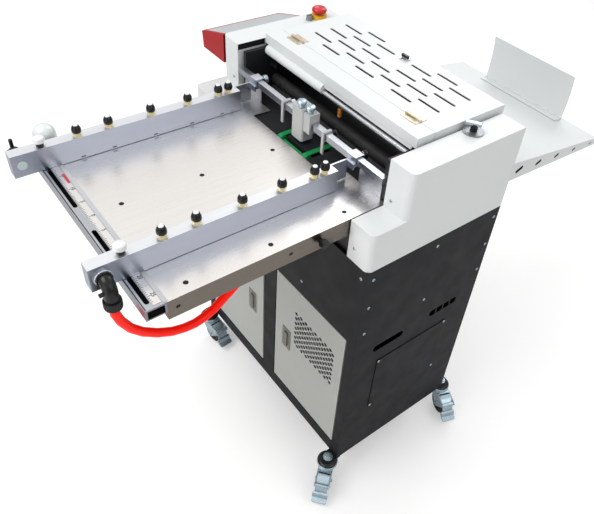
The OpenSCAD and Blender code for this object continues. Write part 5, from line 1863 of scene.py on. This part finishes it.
    def valve(self, x: float, y: float) -> bpy.types.Object:
        """Makes a control valve: nickel hexagon foot, black collar and white cap.

        Args:
            x: Its middle in millimetres.
            y: Its middle along the guide in millimetres.

        Returns:
            The valve as one piece.
        """
        z = self.top
        foot = SHOP.turned(
            [
                (0, -4.8), (3.8, -4.8), (3.8, 0), (8.9, 0), (8.9, 4.6),
                (8.1, 5.5), (6.5, 5.5), (6.5, 7.1), (0, 7.1),
            ],
            (x, y, z),
            steps=6,
        )
        collar = SHOP.turned(
            [
                (0, 7), (9, 7), (10, 8.2), (10, 14.5),
                (9.4, 16.5), (7.6, 20.5), (6.8, 22.4), (5.8, 23.2),
                (0, 23.2),
            ],
            (x, y, z),
            steps=40,
        )
        cap = SHOP.turned(
            [(0, 22.8), (5.2, 22.8), (5.5, 23.3), (5, 24.2), (0, 24.4)], (x, y, z), steps=32
        )
        SHOP.coat(foot, FINISH.nickel)
        SHOP.coat(collar, FINISH.black)
        SHOP.coat(cap, FINISH.pale)
        return SHOP.joined([foot, collar, cap], "valve")

    def lock_knob(self, x: float) -> bpy.types.Object:
        """Makes a lock knob: screw, nut plate, dark foot and white cap.

        Args:
            x: Its middle in millimetres.

        Returns:
            The knob as one piece.
        """
        y, z = self.lock_y, self.top
        screw = SHOP.turned(
            [(0, -64.9), (7, -64.9), (7, -57.1), (3, -57.1), (3, 1), (0, 1)], (x, y, z), steps=32
        )
        foot = SHOP.turned([(0, 0.5), (7.6, 0.5), (8, 1), (8, 9), (0, 9)], (x, y, z), steps=32)
        cap = SHOP.turned(
            [(0, 8.9), (11, 8.9), (12, 10), (12, 17.4), (11.3, 18.8), (9, 20.4), (0, 21)],
            (x, y, z),
            steps=48,
        )
        SHOP.coat(screw, FINISH.zinc)
        SHOP.coat(foot, FINISH.black)
        SHOP.coat(cap, FINISH.pale)
        return SHOP.joined([screw, foot, cap], "lock")


@dataclass(frozen=True)
class Delivery:
    """The sloping tray and its curved backstop.

    Attributes:
        face: The flanges' outer faces in millimetres.
        slots_y: The first and the last end of the row of slots, in millimetres.
        middle_y: The middle slot along the sheet's travel, in millimetres.
        slots_z: The height of the middle slot in millimetres.
        slots_fall: The fall of the row of slots in degrees.
        slots_high: The height of the black strips painted as shade behind the slots, in
            millimetres.
    """

    face: float = 270.0
    slots_y: tuple[float, float] = (350.0, 748.0)
    middle_y: float = 550.0
    slots_z: float = 821.5
    slots_fall: float = 5.7
    slots_high: float = 18.0

    def build(self) -> None:
        """Dresses the tray and the backstop, and puts black strips behind the flanges' slots as
        painted shade.
        """
        dress_nodes(["delivery_tray", "backstop"], FINISH.white)
        strips = []
        for side in Side:
            x0, x1 = sorted((side.value * (self.face - 2.8), side.value * (self.face - 0.4)))
            y0, y1 = self.slots_y
            z0, z1 = self.slots_z - self.slots_high / 2, self.slots_z + self.slots_high / 2
            strip = SHOP.block((x0, y0, z0), (x1, y1, z1), 0.3, 1)
            turn = SHOP.about((0, self.middle_y, self.slots_z), -self.slots_fall, Axis.X)
            strips.append(SHOP.place_local(SHOP.coat(strip, FINISH.liner), turn))
        SHOP.hand_over(SHOP.joined(strips, "strips"), "flange_liners", "machine", "black_plastic")


def main() -> None:
    """Builds the studio and the whole machine."""
    logging.basicConfig(level=logging.INFO, format="%(name)s: %(message)s")
    studio = Studio()
    studio.camera()
    AirHose().build()
    builders: tuple[Callable[[], None], ...] = (
        Cabinet().build,
        Castors().build,
        Head().build,
        Console().build,
        Feed().build,
        AirGuides().build,
        Delivery().build,
        studio.floor,
        studio.light,
    )
    for build in builders:
        build()


if __name__ == "__main__":
    main()
